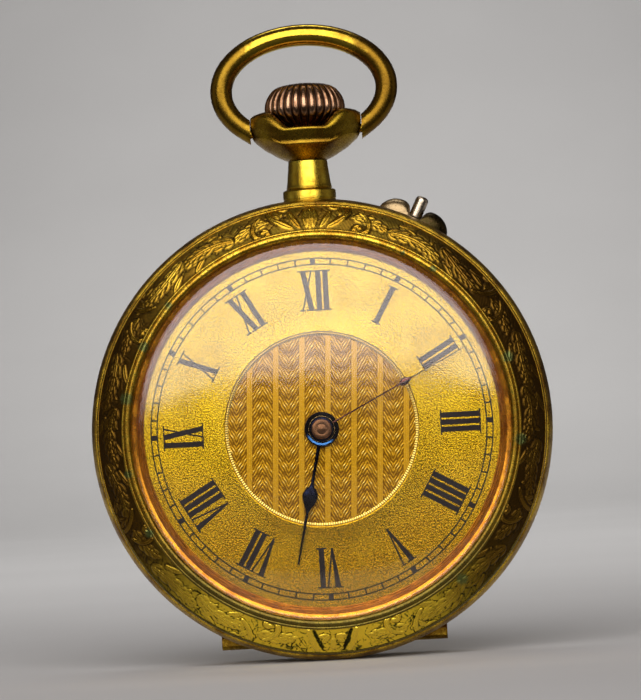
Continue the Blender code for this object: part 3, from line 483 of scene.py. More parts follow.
def dial_gilt():
    """Frosted gilding: a sparkling grain over an even gold, with painted shade making it a little browner
    towards 6 o'clock.
    """
    g = Graph("dial_gilt")
    grain = g.noise(9.0, 2.0, 0.6)
    fine = g.noise(18.0, 2.0, 0.6)
    patches = g.noise(0.35, 3.0, 0.5)
    mixed = g.add(g.mul(grain, 0.55), g.mul(fine, 0.45))
    lit = g.band(g.add(mixed, g.swing(patches, 0.12)), 0.38, 0.60)
    colour = g.mix(lit, (0.26, 0.118, 0.001), (0.92, 0.64, 0.024))
    # painted shade: darker and browner towards 6 o'clock
    colour = g.mix(g.band(g.axes()[2], -11.0, 3.0, 0.44, 0.0), colour, (0.27, 0.085, 0.001))
    return g.metal(colour, g.band(fine, 0.3, 0.7, 0.17, 0.26), g.add(grain, g.mul(fine, 0.6)), 0.018, 0.9)


def engine_turned():
    """Stamped gilding, brown in the cuts, with a painted highlight on the crests."""
    g = Graph("engine_turned")
    specks = g.noise(7.0, 3.0, 0.6)
    high = g.add(g.attribute("relief"), g.swing(specks, 0.45))
    colour = g.mix(g.band(high, 0.04, 0.34), (0.21, 0.090, 0.003), (0.66, 0.35, 0.014))
    # painted highlight: the crests turn pale gold
    colour = g.mix(g.band(high, 0.52, 0.80), colour, (0.95, 0.74, 0.20))
    return g.metal(colour, g.band(high, 0.2, 0.9, 0.45, 0.26), specks, 0.014, 0.5)


def reflector_gilt():
    """The slope between the dial and the glass, a redder gold with lathe lines round it."""
    g = Graph("reflector_gilt")
    patches = g.noise(0.8, 4.0, 0.6)
    lines = g.noise(3.0, 3.0, stretch=(0.3, 9.0, 0.3))
    colour = g.mix(g.band(patches, 0.35, 0.65), (0.85, 0.36, 0.020), (0.50, 0.17, 0.010))
    return g.metal(colour, g.band(lines, 0.3, 0.7, 0.16, 0.32), lines, 0.012, 0.6, metallic=0.8)


def ink():
    """Printed black enamel, slightly brown and nearly matt."""
    g = Graph("dial_ink")
    specks = g.noise(10.0)
    colour = g.mix(g.band(specks, 0.40, 0.75), (0.005, 0.002, 0.001), (0.024, 0.009, 0.004))
    roughness = g.band(specks, 0.3, 0.7, 0.35, 0.6)
    return g.metal(colour, roughness, specks, 0.01, 0.5, metallic=0.0, specular=0.25)


def dark_steel(name, colour, edge):
    """Blued or browned steel."""
    g = Graph(name)
    patches = g.noise(2.2, 4.0, 0.6)
    fine = g.noise(24.0, 3.0, 0.6)
    mixed = g.mix(g.band(patches, 0.35, 0.70), colour, edge)
    return g.metal(mixed, g.band(fine, 0.3, 0.7, 0.12, 0.30), fine, 0.006, 0.6)


def boss_steel():
    """The hour hand's boss: black, with a painted blue reflection on its lower side, towards the hand's
    point.
    """
    g = Graph("boss_steel")
    x, _, z = g.axes()
    across = g.node("ShaderNodeCombineXYZ", {0: x, 2: z}).outputs[0]
    r = g.node("ShaderNodeVectorMath", {0: across}, operation="LENGTH").outputs["Value"]
    # painted reflection: a bright blue glint on the lower side of the boss
    towards = g.add(z, g.mul(x, 0.25))
    blue = g.mul(g.band(towards, -0.85, -0.50, 1.0, 0.0), g.band(r, 1.10, 1.18, 1.0, 0.0))
    colour = g.mix(blue, (0.004, 0.004, 0.006), (0.05, 0.17, 0.42))
    return g.metal(colour, 0.2, g.noise(24.0, 3.0, 0.6), 0.004, 0.5)


def bright_metal(name, colour, tint, roughness=(0.14, 0.32), lines=(1.0, 1.0, 16.0), grain=0.010):
    """Brushed steel, nickel, copper or brass, with tarnish of another tint."""
    g = Graph(name)
    patches = g.noise(0.9, 4.0, 0.6, 0.3)
    specks = g.noise(6.0, 4.0, 0.65)
    brushed = g.noise(2.5, 3.0, stretch=lines)
    mixed = g.mix(g.band(g.add(patches, g.mul(specks, 0.3)), 0.50, 0.85), colour, tint)
    return g.metal(mixed, g.band(brushed, 0.3, 0.7, *roughness), g.add(brushed, specks), grain, 0.5)


def crown_metal():
    """Gilt worn through to copper: bare on the ridges and black between them."""
    g = Graph("crown_metal")
    patches = g.noise(1.4, 4.0, 0.6)
    specks = g.noise(10.0)
    bare = g.mix(g.band(patches, 0.38, 0.62), (0.50, 0.29, 0.17), (0.20, 0.100, 0.050))
    high = g.add(g.attribute("relief"), g.swing(specks, 0.5))
    colour = g.mix(g.band(high, 0.15, 0.70), (0.035, 0.018, 0.012), bare)
    return g.metal(colour, g.band(high, 0.2, 0.9, 0.42, 0.20), specks, 0.02, 0.7)


def worn_nickel():
    """The guard's plating: pale on the side towards the pendant, and brown beyond."""
    g = Graph("worn_nickel")
    x, _, z = g.axes()
    patches = g.noise(1.6, 4.0, 0.65, 0.5)
    specks = g.noise(8.0)
    along = g.add(g.mul(x, cos(PIN_ANGLE)), g.mul(z, -sin(PIN_ANGLE)))
    shade = g.add(g.band(along, -1.6, 0.9), g.swing(patches, 1.0))
    colour = g.mix(g.band(shade, 0.15, 0.75), (0.33, 0.235, 0.12), (0.045, 0.032, 0.010))
    colour = g.mix(g.band(specks, 0.52, 0.72, 0.0, 0.7), colour, (0.16, 0.085, 0.045))
    return g.metal(colour, g.band(specks, 0.3, 0.7, 0.22, 0.42), specks, 0.02, 0.7)


def glass():
    """Clear glass: light goes straight through it, and its faces mirror more the more they turn away."""
    head_on, edge_on = 0.043, 0.95
    g = Graph("watch_glass")
    smear = g.noise(0.35, 3.0, 0.6, stretch=(1.0, 1.0, 0.35))
    rough = g.band(smear, 0.3, 0.7, 0.08, 0.16)
    mirror = g.node("ShaderNodeBsdfGlossy", {"Color": (1.0, 0.93, 0.92), "Roughness": rough})
    clear = g.node("ShaderNodeBsdfTransparent", {"Color": (1.0, 1.0, 1.0)})
    turned_away = g.node("ShaderNodeLayerWeight", {"Blend": 0.5}).outputs["Facing"]
    share = g.add(head_on, g.mul(g.calc("POWER", turned_away, 5.0), edge_on))
    return g.surface(g.node("ShaderNodeMixShader", {0: share, 1: clear.outputs[0], 2: mirror.outputs[0]}))


def plain_stage(name, colour):
    """Matt paper for the set."""
    g = Graph(name)
    lighter = tuple(c * 1.04 for c in colour)
    return g.metal(g.mix(g.band(g.noise(0.02, 3.0, 0.5), 0.3, 0.7), colour, lighter), 0.75, metallic=0.0)


POLISHED = gilt("gilt_polished", GREEN_GOLD, (0.55, 0.33, 0.025), tarnish=0.35, roughness=(0.12, 0.28))
BOW_GILT = bow_gilt()
CUP_GILT = gilt("gilt_cup", (0.40, 0.26, 0.020), (0.20, 0.100, 0.009), roughness=(0.16, 0.34))
CASE_GILT = gilt("gilt_case", GOLD, BROWN_GOLD, tarnish=0.8, roughness=(0.18, 0.42), grain=0.014)
BACK_GILT = gilt("gilt_back", GOLD, DEEP_GOLD, wear=0.5, tarnish=0.6)
ENGRAVED = engraved_gilt()
LIP = lip_gilt()
DIAL = dial_gilt()
TURNED = engine_turned()
REFLECTOR = reflector_gilt()
INK = ink()
BLUED = dark_steel("blued_steel", (0.004, 0.004, 0.008), (0.007, 0.011, 0.032))
BOSS_STEEL = boss_steel()
BROWNED = dark_steel("browned_steel", (0.09, 0.035, 0.03), (0.16, 0.06, 0.04))
COPPER_CAP = bright_metal(
    "copper_cap", (0.21, 0.100, 0.045), (0.12, 0.058, 0.030), (0.30, 0.45), grain=0.005
)
CROWN = crown_metal()
PALE_NICKEL = bright_metal("pale_nickel", (0.62, 0.52, 0.40), (0.22, 0.17, 0.10))
WORN_NICKEL = worn_nickel()
STEEL = bright_metal("steel", (0.60, 0.60, 0.61), (0.40, 0.38, 0.36), lines=(1.0, 14.0, 1.0))
BRASS = bright_metal("movement_brass", (0.78, 0.56, 0.22), (0.56, 0.34, 0.12), lines=(14.0, 1.0, 1.0))
GLASS = glass()


# ---- Relief by strokes ---------------------------------------------------------------------------
class Band:
    """A height field on a flat strip that closes on itself: u along it, v across, in millimetres."""

    def __init__(self, length, width, step):
        self.length, self.width = length, width
        self.nu, self.nv = round(length / step), round(width / step) + 1
        self.u = np.arange(self.nu) * length / self.nu
        self.v = np.linspace(0, width, self.nv)
        self.height = np.zeros((self.nu, self.nv))

    def near(self, points, reach):
        """The rows of the grid that a stroke can touch, and where their points lie."""
        low, high = min(p[0] for p in points) - reach, max(p[0] for p in points) + reach
        first, last = int(low / self.length * self.nu), int(high / self.length * self.nu) + 1
        rows = np.arange(first, last + 1)
        uu = rows * self.length / self.nu
        return rows % self.nu, uu[:, None], self.v[None, :]

    def stroke(self, points, width, height, blunt=0.25):
        """A rounded ridge (or groove, if height is negative) that narrows to points at both ends."""
        rows, uu, vv = self.near(points, width)
        best = np.full((len(rows), self.nv), 9.0)
        steps = len(points) - 1
        for i, ((ax, ay), (bx, by)) in enumerate(zip(points, points[1:])):
            dx, dy = bx - ax, by - ay
            t = np.clip(((uu - ax) * dx + (vv - ay) * dy) / (dx * dx + dy * dy + 1e-9), 0, 1)
            along = (i + t) / steps
            half = width / 2 * (blunt + (1 - blunt) * np.sin(pi * np.clip(along, 0.0, 1.0)) ** 0.6)
            gap = np.hypot(uu - ax - t * dx, vv - ay - t * dy)
            best = np.minimum(best, gap / half)
        shape = np.sqrt(np.clip(1 - best**2, 0, 1)) * abs(height)
        if height > 0:
            self.height[rows] = np.maximum(self.height[rows], shape)
        else:
            self.height[rows] = np.where(best < 1, self.height[rows] - shape, self.height[rows])

    def curve(self, base, heading, length, bend, n=9):
        """Points from base along heading (radians from +u towards +v), turning by bend over the length."""
        x, y = base
        points = [(x, y)]
        for i in range(n):
            a = heading + bend * (i + 0.5) / n
            x += length / n * cos(a)
            y += length / n * sin(a)
            points.append((x, y))
        return points


def leaf(band, base, heading, length, bend, width, lobes=5):
    """An acanthus leaf: broad overlapping lobes down both sides of a rib, each with a cut vein."""
    rib = band.curve(base, heading, length, bend, 14)
    veins = []
    for k in range(lobes):
        for side in (1, -1):
            t = (k + 0.35) / lobes
            at = rib[int(t * (len(rib) - 2))]
            lean = heading + bend * t
            reach = width * (0.60 + 0.40 * sin(pi * min(1.0, t + 0.18)))
            lobe = band.curve(at, lean + side * 0.80, reach, -side * 0.95, 7)
            band.stroke(lobe, 0.70, -0.045, 0.5)
            band.stroke(lobe, 0.54, 0.10, 0.35)
            veins.append(lobe[1:])
            veins.append(band.curve(lobe[2], lean + side * 0.15, reach * 0.5, -side * 0.4, 4))
    band.stroke(rib, 0.50, 0.12)
    for vein in veins:
        band.stroke(vein, 0.085, -0.045, 0.5)
    band.stroke(rib, 0.10, -0.055, 0.5)


def scroll(band, base, heading, size, turn):
    """A C-scroll that winds up into an eye, with an outline cut beside it."""
    points = []
    x, y = base
    a = heading
    steps = 22
    for i in range(steps):
        points.append((x, y))
        t = i / steps
        a += turn * (0.14 + 0.42 * t)
        x += size * 0.36 * (1 - 0.80 * t) * cos(a)
        y += size * 0.36 * (1 - 0.80 * t) * sin(a)
    band.stroke(points, 0.62, -0.06, 0.6)
    band.stroke(points, 0.42, 0.13, 0.6)
    band.stroke(points, 0.09, -0.05)
    eye = points[-1]
    band.stroke([eye, (eye[0] + 0.04, eye[1])], 0.40, 0.14, 1.0)


def sprig(band, base, heading, length, spread, count=3):
    """A fan of small pointed leaves."""
    for k in range(count):
        off = k - (count - 1) / 2
        points = band.curve(base, heading + spread * off, length * (1 - 0.15 * abs(off)), 0.5 * off, 6)
        band.stroke(points, 0.58, -0.045, 0.5)
        band.stroke(points, 0.44, 0.11)
        band.stroke(points, 0.08, -0.05)


def garland(band, half, width, side, rng):
    """Scrolls and acanthus down one side, from the palmette at 12 to the foot at 6."""
    kinds = "scroll leaf leaf scroll leaf leaf leaf scroll leaf leaf scroll".split()
    pitch = (half - 4.4) / len(kinds)

    def turn(angle):
        return angle if side > 0 else pi - angle

    for index, kind in enumerate(kinds):
        u = 1.9 + index * pitch
        lean = rng.uniform(-0.12, 0.12)
        low = width * rng.uniform(0.18, 0.28)
        if kind == "scroll":
            base = (side * (u + 1.0), width * 0.55)
            leaf(band, base, turn(0.10 + lean), pitch * 0.75, -0.5 * side, 0.85, 4)
            sprig(band, (side * (u + 0.2), width * 0.60), turn(1.2), 0.9, 0.5)
            scroll(band, (side * (u - 0.3), low), turn(0.42 + lean), 0.95, side * rng.uniform(0.95, 1.1))
            scroll(band, (side * (u + 1.5), width - low), turn(-0.35 + lean), 0.75, -side * 1.0)
        else:
            rise = 1 if index % 2 else -1
            start = width * (0.26 if rise > 0 else 0.74)
            bend = -rise * side * rng.uniform(0.55, 0.85)
            sprig(band, (side * (u + pitch * 0.15), width - start), turn(-rise * 0.25), 1.7, 0.45)
            sprig(band, (side * (u + pitch * 0.62), start), turn(rise * 0.2), 1.4, 0.45)
            leaf(band, (side * u, start), turn(rise * 0.38 + lean), pitch * 1.12, bend, 1.05, 6)
    for k in range(3):
        petal = band.curve((side * (0.25 + 0.5 * k), 0.15), turn(1.40 - 0.45 * k), 1.55, 0.35 * side, 6)
        band.stroke(petal, 0.60, 0.12)
        band.stroke(petal, 0.09, -0.06)
    foot = half * side
    band.stroke([(foot - side * 1.75, 0.12), (foot - side * 1.05, width * 0.92)], 0.50, 0.12, 0.9)
    band.stroke([(foot - side * 1.35, 0.15), (foot - side * 0.65, width * 0.88)], 0.30, -0.08, 0.9)
    sprig(band, (foot - side * 0.25, width * 0.25), turn(pi - 0.5), 0.8, 0.6, 2)
    band.stroke([(foot - side * 0.55, width * 0.82), (foot - side * 0.50, width * 0.82)], 0.26, 0.11, 1.0)


GROUND_CUTS = 520


def engraving(length, width):
    """The bezel's foliage over a hatched ground with short cuts all over it."""
    rng = random.Random(7)
    cuts = random.Random(3)
    band = Band(length, width, 0.05)
    half = length / 2
    u, v = np.meshgrid(band.u, band.v, indexing="ij")
    hatch = 0.5 + 0.5 * np.cos(2 * pi * (u * 0.8 + v * 0.6) / 0.21)
    band.height += 0.034 + 0.014 * hatch
    for _ in range(GROUND_CUTS):
        base = (cuts.uniform(-half, half), cuts.uniform(0.15, width - 0.45))
        line = band.curve(base, cuts.uniform(0.3, 2.8), cuts.uniform(0.5, 1.1), cuts.uniform(-0.6, 0.6), 5)
        band.stroke(line, 0.10, -0.030, 0.4)
    for side in (1, -1):
        garland(band, half, width, side, rng)
    band.stroke([(0.0, 0.1), (0.0, width * 0.95)], 0.55, 0.13, 0.5)
    band.stroke([(0.0, 0.1), (0.0, width * 0.80)], 0.09, -0.06, 0.5)
    band.stroke([(half, width * 0.45), (half + 0.02, width * 0.75)], 0.50, 0.12, 0.9)
    return band


def wrapped(band, profile):
    """The points and the relief of the band, wrapped round the watch on a profile of (radius, y) that faces
    the front. About a third of its height is sunk below the profile."""
    path = np.array(profile, float)
    steps = np.hypot(*np.diff(path, axis=0).T)
    along = np.concatenate([[0], np.cumsum(steps)]) / steps.sum() * band.width
    r = np.interp(band.v, along, path[:, 0])
    y = np.interp(band.v, along, path[:, 1])
    dr, dy = np.gradient(r), np.gradient(y)
    size = np.hypot(dr, dy)
    edge = np.minimum(1, np.minimum(band.v, band.width - band.v) / 0.08)
    top = band.height.max()
    height = band.height.T
    lift = (np.maximum(height, 0) - 0.35 * top) * edge[:, None]
    angle = 2 * pi * np.arange(band.nu) / band.nu
    radius = r[:, None] + (dy / size)[:, None] * lift
    depth = y[:, None] - (dr / size)[:, None] * lift
    return round_y(radius, depth, angle), np.clip(height / (0.9 * top), 0, 1)


# ---- Bezel ---------------------------------------------------------------------------------------
BAND_PROFILE = [(13.86, -1.99), (14.1, -1.86), (14.6, -1.58), (15.1, -1.21), (15.48, -0.83)]
# where verdigris has grown: degrees from 12, radius and size
SPOTS = [
    (-78, 13.6, 0.55), (-62, 13.5, 0.45), (-48, 13.6, 0.35), (38, 13.5, 0.3), (72, 13.8, 0.5),
    (96, 13.8, 0.5), (-118, 13.9, 0.4), (-100, 13.7, 0.35), (28, 13.4, 0.25), (140, 14.2, 0.5),
]


def verdigris(obj):
    """Marks where green has grown, as a value on each point of the mesh."""
    co = np.empty(len(obj.data.vertices) * 3, np.float32)
    obj.data.vertices.foreach_get("co", co)
    co = (co.reshape(-1, 3) - np.array(ORIGIN)) / MM
    value = np.zeros(len(co))
    for degrees, r, size in SPOTS:
        x, z = r * sin(radians(degrees)), r * cos(radians(degrees))
        value += np.exp(-((co[:, 0] - x) ** 2 + (co[:, 2] - z) ** 2) / size**2)
    made = obj.data.attributes.new("verdigris", "FLOAT", "POINT")
    made.data.foreach_set("value", value.astype(np.float32))


def bezel():
    """The engraved band, the plain rim inside it, and the slope down to the dial."""
    middle = sum(p[0] for p in BAND_PROFILE) / len(BAND_PROFILE)
    points, relief = wrapped(engraving(2 * pi * middle, 1.98), BAND_PROFILE)
    faces = ring_faces(*relief.shape)
    verdigris(grid_piece("bezel_engraving", points, faces, relief, "bezel", ENGRAVED))
    rim = [
        (15.48, -0.80), (15.50, -0.76), (15.52, -0.80), (15.57, -0.80), (15.62, -0.74),
        (BEZEL_R, -0.62), (15.65, -0.52), (15.60, -0.43), (13.34, -0.43), (13.34, -0.10),
        (13.16, -0.10), (13.16, -1.15), (13.17, -1.80), (13.19, -1.96), (13.24, -2.06), (13.34, -2.12),
        (13.46, -2.14), (13.58, -2.12), (13.64, -2.06), (13.66, -2.05), (13.69, -2.08), (13.76, -2.10),
        (13.82, -2.07), (13.86, -1.98), (14.2, -1.6), (14.8, -1.2), (15.3, -0.8),
    ]
    verdigris(piece("bezel_rim", turned(rim, 360), "bezel", LIP, ["bezel"], sharp=50))
    slope = [
        (13.15, -1.14), (13.15, -0.10), (12.40, -0.10), (12.41, -0.15), (12.50, -0.36), (12.53, -0.38),
        (12.56, -0.50), (12.62, -0.66), (12.65, -0.68), (12.82, -1.10), (12.86, -1.14),
    ]
    piece("bezel_reflector", turned(slope, 360), "bezel", REFLECTOR, sharp=50)


def crystal():
    """The domed glass, 0.64 thick at its middle."""
    outer = [
        (0, -3.00), (2.8, -2.97), (5.5, -2.86), (8.0, -2.68), (10.0, -2.46), (11.6, -2.20), (12.6, -1.98),
    ]
    edge = [(12.95, -1.84), (13.10, -1.68), (13.13, -1.50), (13.13, -1.20), (13.08, -1.18), (12.70, -1.18)]
    inner = [(11.6, -1.50), (10.0, -1.82), (8.0, -2.04), (5.5, -2.22), (2.8, -2.33), (0, -2.36)]
    dome = turned(outer + edge + inner, 256)
    piece("crystal_glass", dome, "bezel", GLASS, ["crystal"], sharp=60)


# ---- Case ----------------------------------------------------------------------------------------
def on_pin(bm):
    """From a frame with z along the setting pin, outwards, to the watch's."""
    bm.transform(Matrix.Translation((0, PIN_Y, 0)) @ Matrix.Rotation(PIN_ANGLE, 4, "Y"))
    return bm


CASE_SEGMENTS = 256
NECK_SEAT_R, STEM_BORE_R = 1.91, 0.80
PIN_BORE_R, PIN_SEAT_R = 0.36, 0.52
HINGE_R, HINGE_PIN_R = 0.57, 0.20
CHANNEL_HALF = 8.25
# from where to where along x the knuckles run: the cuvette's in the middle, the others on both sides
CUVETTE_KNUCKLE, BACK_KNUCKLE, CASE_KNUCKLE = (-1.96, 1.96), (2.02, 5.16), (5.22, 7.98)


def both_sides(x0, x1):
    return (-x1, -x0), (x0, x1)


def knuckle(x0, x1):
    """A section of the hinge's tube."""
    tube = slab([circle(HINGE_R, 40), circle(HINGE_PIN_R + FIT, 24)], x0, x1)
    tube.transform(Matrix.Translation((0, HINGE.y, HINGE.z)) @ Matrix.Rotation(-pi / 2, 4, "Z"))
    return tube


def tab(x0, x1, y0, y1, top):
    """The plate from a knuckle up into the cover that it carries. Its depth is measured from the pin."""
    low = (x0 + 0.08, HINGE.y + y0, HINGE.z + HINGE_PIN_R + 0.12)
    return box(low, (x1 - 0.08, HINGE.y + y1, top))


def case_middle():
    """The band: a double fillet at the front, the pendant's seat, the pin's hole and the hinge's channel."""
    fillet = [
        (15.66, -0.40), (15.72, -0.405), (15.78, -0.37), (15.80, -0.32), (15.78, -0.27), (15.74, -0.25),
        (15.78, -0.23), (15.83, -0.20), (15.85, -0.15),
    ]
    skin = [
        (15.88, -0.10), (16.03, 0.40), (CASE_R, 0.95), (CASE_R, 2.2), (15.86, 3.5), (15.42, 4.6),
        (15.06, 5.02),
    ]
    inside = [
        (15.0, 5.07), (12.55, 5.07), (12.55, 0.43), (12.95, 0.43), (12.95, -0.05), (13.40, -0.05),
        (13.40, -0.40),
    ]
    band = cut(
        turned(fillet + smooth(skin, 4) + inside, CASE_SEGMENTS),
        rod(NECK_SEAT_R, (0, STEM_Y, 14.65), (0, STEM_Y, REACH), 64),
        rod(STEM_BORE_R, (0, STEM_Y, 11), (0, STEM_Y, REACH), 48),
        on_pin(rod(PIN_BORE_R, (0, 0, 11), (0, 0, REACH), 32)),
        on_pin(rod(PIN_SEAT_R, (0, 0, 15.7), (0, 0, REACH), 40)),
        rod(HINGE_R + 0.06, (-CHANNEL_HALF, HINGE.y, HINGE.z), (CHANNEL_HALF, HINGE.y, HINGE.z), 40),
        box((-CHANNEL_HALF, HINGE.y - HINGE_R - 0.04, -REACH), (CHANNEL_HALF, HINGE.y + 1, HINGE.z)),
    )
    for x0, x1 in both_sides(*CASE_KNUCKLE):
        web = box((x0 + 0.1, HINGE.y - 0.75, HINGE.z - 0.25), (x1 - 0.1, HINGE.y - 0.40, HINGE.z + 0.25))
        band = join(band, knuckle(x0, x1), web)
    piece("case_band", band, "case", CASE_GILT, ["case_middle"])


BACK_RAYS, ROPE_STRANDS = 144, 108
BACK_CIRCLES = (6.25, 6.50, 12.30, 12.55, 13.58)
RAYS_FROM, RAYS_TO = 6.68, 12.12
ROPE_R, ROPE_HALF = 13.06, 0.40


def back_relief(r, angle):
    """The back's engine turning: waved rays between plain circles, and a rope border."""
    circles = sum(np.exp(-(((r - c) / 0.07) ** 2)) for c in BACK_CIRCLES)
    rays = 0.5 + 0.5 * np.cos(BACK_RAYS * angle + 2.8 * np.sin(2 * pi * r / 1.42))
    rays = np.where((r > RAYS_FROM) & (r < RAYS_TO), rays, 0)
    rope = 0.5 + 0.5 * np.cos(ROPE_STRANDS * angle + 5.5 * (r - ROPE_R))
    rope = rope * np.sqrt(np.clip(1 - ((r - ROPE_R) / ROPE_HALF) ** 2, 0, 1))
    return np.clip(circles, 0, 1) + 0.8 * rays + rope


def case_back():
    """The hinged back: a domed skin, engine turned round a plain disc."""
    inside = [(0.0, 6.95), (5.8, 6.95), (9.4, 6.74), (12.3, 6.28), (13.9, 5.70), (14.15, 5.13), (15.0, 5.13)]
    skin = smooth([
        (15.06, 5.30), (15.05, 5.45), (14.85, 5.72), (14.4, 6.08), (13.6, 6.43), (12.6, 6.72), (11.2, 6.98),
        (9.6, 7.18), (7.9, 7.32), (6.0, 7.40), (3.0, 7.41), (0.0, 7.41),
    ], 3)
    notch = box((-CHANNEL_HALF, 4.9, -17), (CHANNEL_HALF, 8, HINGE.z + HINGE_R + 0.33))
    cover = cut(turned(inside + skin, CASE_SEGMENTS), notch)
    for x0, x1 in both_sides(*BACK_KNUCKLE):
        cover = join(cover, knuckle(x0, x1), tab(x0, x1, 0.10, 0.55, -13.35))
    piece("back_cover", cover, "back", BACK_GILT, ["case_back"])
    inner, outer, step = 6.08, 13.72, 0.089
    r = np.arange(inner, outer, step)[::-1, None]
    steps = 8 * BACK_RAYS
    angle = 2 * pi * np.arange(steps) / steps
    line = np.array(sorted(skin))
    edge = np.clip(np.minimum(r - r[-1], r[0] - r) / 0.1, 0, 1)
    relief = back_relief(r, angle)
    y = np.interp(r, line[:, 0], line[:, 1]) - 0.004 + (0.008 + 0.045 * relief) * edge
    points, faces = round_y(r, y, angle), ring_faces(*relief.shape)
    relief /= relief.max()
    grid_piece("back_engine_turning", points, faces, relief, "back", TURNED)


def cuvette():
    """The inner dust cover, polished."""
    under = [(13.5, 5.14), (12.9, 5.14), (12.0, 5.35), (9.0, 5.58), (5.0, 5.70), (0.0, 5.74)]
    over = [(0.0, 6.08), (5.0, 6.04), (9.0, 5.92), (12.0, 5.70), (13.2, 5.50), (13.5, 5.36)]
    cover = turned(smooth(under, 3) + smooth(over, 3), CASE_SEGMENTS)
    cover = cut(cover, box((-5.3, 4.9, -17), (5.3, 8, -12.85)))
    cover = join(cover, knuckle(*CUVETTE_KNUCKLE), tab(*CUVETTE_KNUCKLE, 0.08, 0.36, -12.60))
    piece("dust_cover_shell", cover, "dust_cover", BACK_GILT, ["cuvette"])


# ---- Pendant, bow and crown ----------------------------------------------------------------------
NECK_TOP = 18.88
BOW_CENTRE_Z = 23.97
BOW_A, BOW_B = 5.83, 3.83
BOW_WIRE_R, BOW_PIN_R = 0.77, 0.30
BOW_FACE_X, EAR_X = 3.93, 3.89


def pendant_neck():
    """The neck: a tapered stalk on a collar, with turned lines where they meet."""
    profile = [
        (1.86, 14.70), (1.86, 16.12), (1.83, 16.15), (1.83, 16.20), (1.86, 16.23), (1.86, 16.72),
        (1.83, 16.80), (1.76, 16.85), (1.66, 16.88), (1.60, 16.93), (1.585, 16.97), (1.61, 17.0),
        (1.61, 17.05), (1.58, 17.09), (1.53, 17.4), (1.46, 18.0), (1.39, 18.6), (1.37, NECK_TOP),
        (0.75, NECK_TOP), (0.75, 14.70),
    ]
    neck = turned(profile, 96)
    neck.transform(Matrix.Translation((0, STEM_Y, 0)) @ Matrix.Rotation(pi / 2, 4, "X"))
    piece("neck", neck, "case", POLISHED, ["pendant_neck"])


def crown_cup():
    """The cup that holds the crown, with a low front and back rim and an ear at each side."""
    # half across, half deep, height at the front, height at the side
    levels = [
        (1.36, 1.36, 18.91, 18.91), (1.9, 1.62, 19.15, 19.15), (2.9, 2.16, 19.55, 19.75),
        (3.55, 2.50, 19.85, 20.30), (3.74, 2.63, 19.96, 20.55), (3.78, 2.66, 20.02, 20.66),
        (3.79, 2.60, 20.12, 20.80), (3.93, 2.66, 20.36, 21.1), (3.97, 2.77, 20.62, 21.42),
        (3.97, 2.88, 20.88, 21.9), (3.88, 2.93, 21.00, 22.12), (3.64, 2.91, 21.10, 22.28),
        (3.28, 2.80, 21.18, 22.40), (3.0, 2.70, 21.17, 22.34), (2.84, 2.62, 21.08, 22.15),
        (2.72, 2.54, 20.98, 21.6), (2.45, 2.40, 20.95, 21.05), (0.75, 0.75, 20.95, 20.95),
        (0.75, 0.75, 18.91, 18.91),
    ]
    rings = []
    for half_x, half_y, front, side in levels:
        ring = []
        for i in range(112):
            a = 2 * pi * i / 112
            share = min(1.0, max(0.0, (abs(sin(a)) - 0.36) / 0.50))
            share = share * share * (3 - 2 * share)
            x = min(EAR_X, max(-EAR_X, half_x * sin(a)))
            ring.append((x, STEM_Y + half_y * cos(a), front + (side - front) * share))
        rings.append(ring)
    cup = lofted(rings, closed=True)
    holes = []
    for side in (-1, 1):
        holes.append(rod(0.34, (side * 5, STEM_Y, BOW_PIVOT_Z), (side * 3.1, STEM_Y, BOW_PIVOT_Z), 32))
    piece("cup", cut(cup, *holes), "case", CUP_GILT, ["crown_cup"], sharp=45)


def bow():
    """An oval of round wire, open at the bottom, whose turned-down ends pivot in the ears."""
    sides, steps = 28, 112
    end = asin((BOW_FACE_X + 0.25) / BOW_A)
    rings = []
    for i in range(steps + 1):
        a = -pi + end + (2 * pi - 2 * end) * i / steps
        centre = Vector((BOW_A * sin(a), STEM_Y, BOW_CENTRE_Z + BOW_B * cos(a)))
        out = Vector((BOW_B * sin(a), 0, BOW_A * cos(a))).normalized()
        r = BOW_WIRE_R * (0.94 + 0.06 * min(1.0, min(i, steps - i) / 20))
        turns = [2 * pi * k / sides for k in range(sides)]
        rings.append([centre + r * cos(t) * out + Vector((0, r * sin(t), 0)) for t in turns])
    for ring, side in ((rings[0], -1), (rings[-1], 1)):
        along = Vector((BOW_A * cos(end), 0, side * BOW_B * sin(end)))
        for p in ring:
            p += along * ((side * BOW_FACE_X - p.x) / along.x)
        middle = sum(p.z for p in ring) / sides
        angles = [atan2(p.y - STEM_Y, p.z - middle) for p in ring]
        pins = []
        for x in (BOW_FACE_X, 3.2):
            pins.append([
                (side * x, STEM_Y + BOW_PIN_R * sin(a), BOW_PIVOT_Z + BOW_PIN_R * cos(a)) for a in angles
            ])
        rings = pins[::-1] + rings if side < 0 else rings + pins
    piece("bow_wire", lofted(rings), "bow", BOW_GILT, ["bow"], sharp=50)


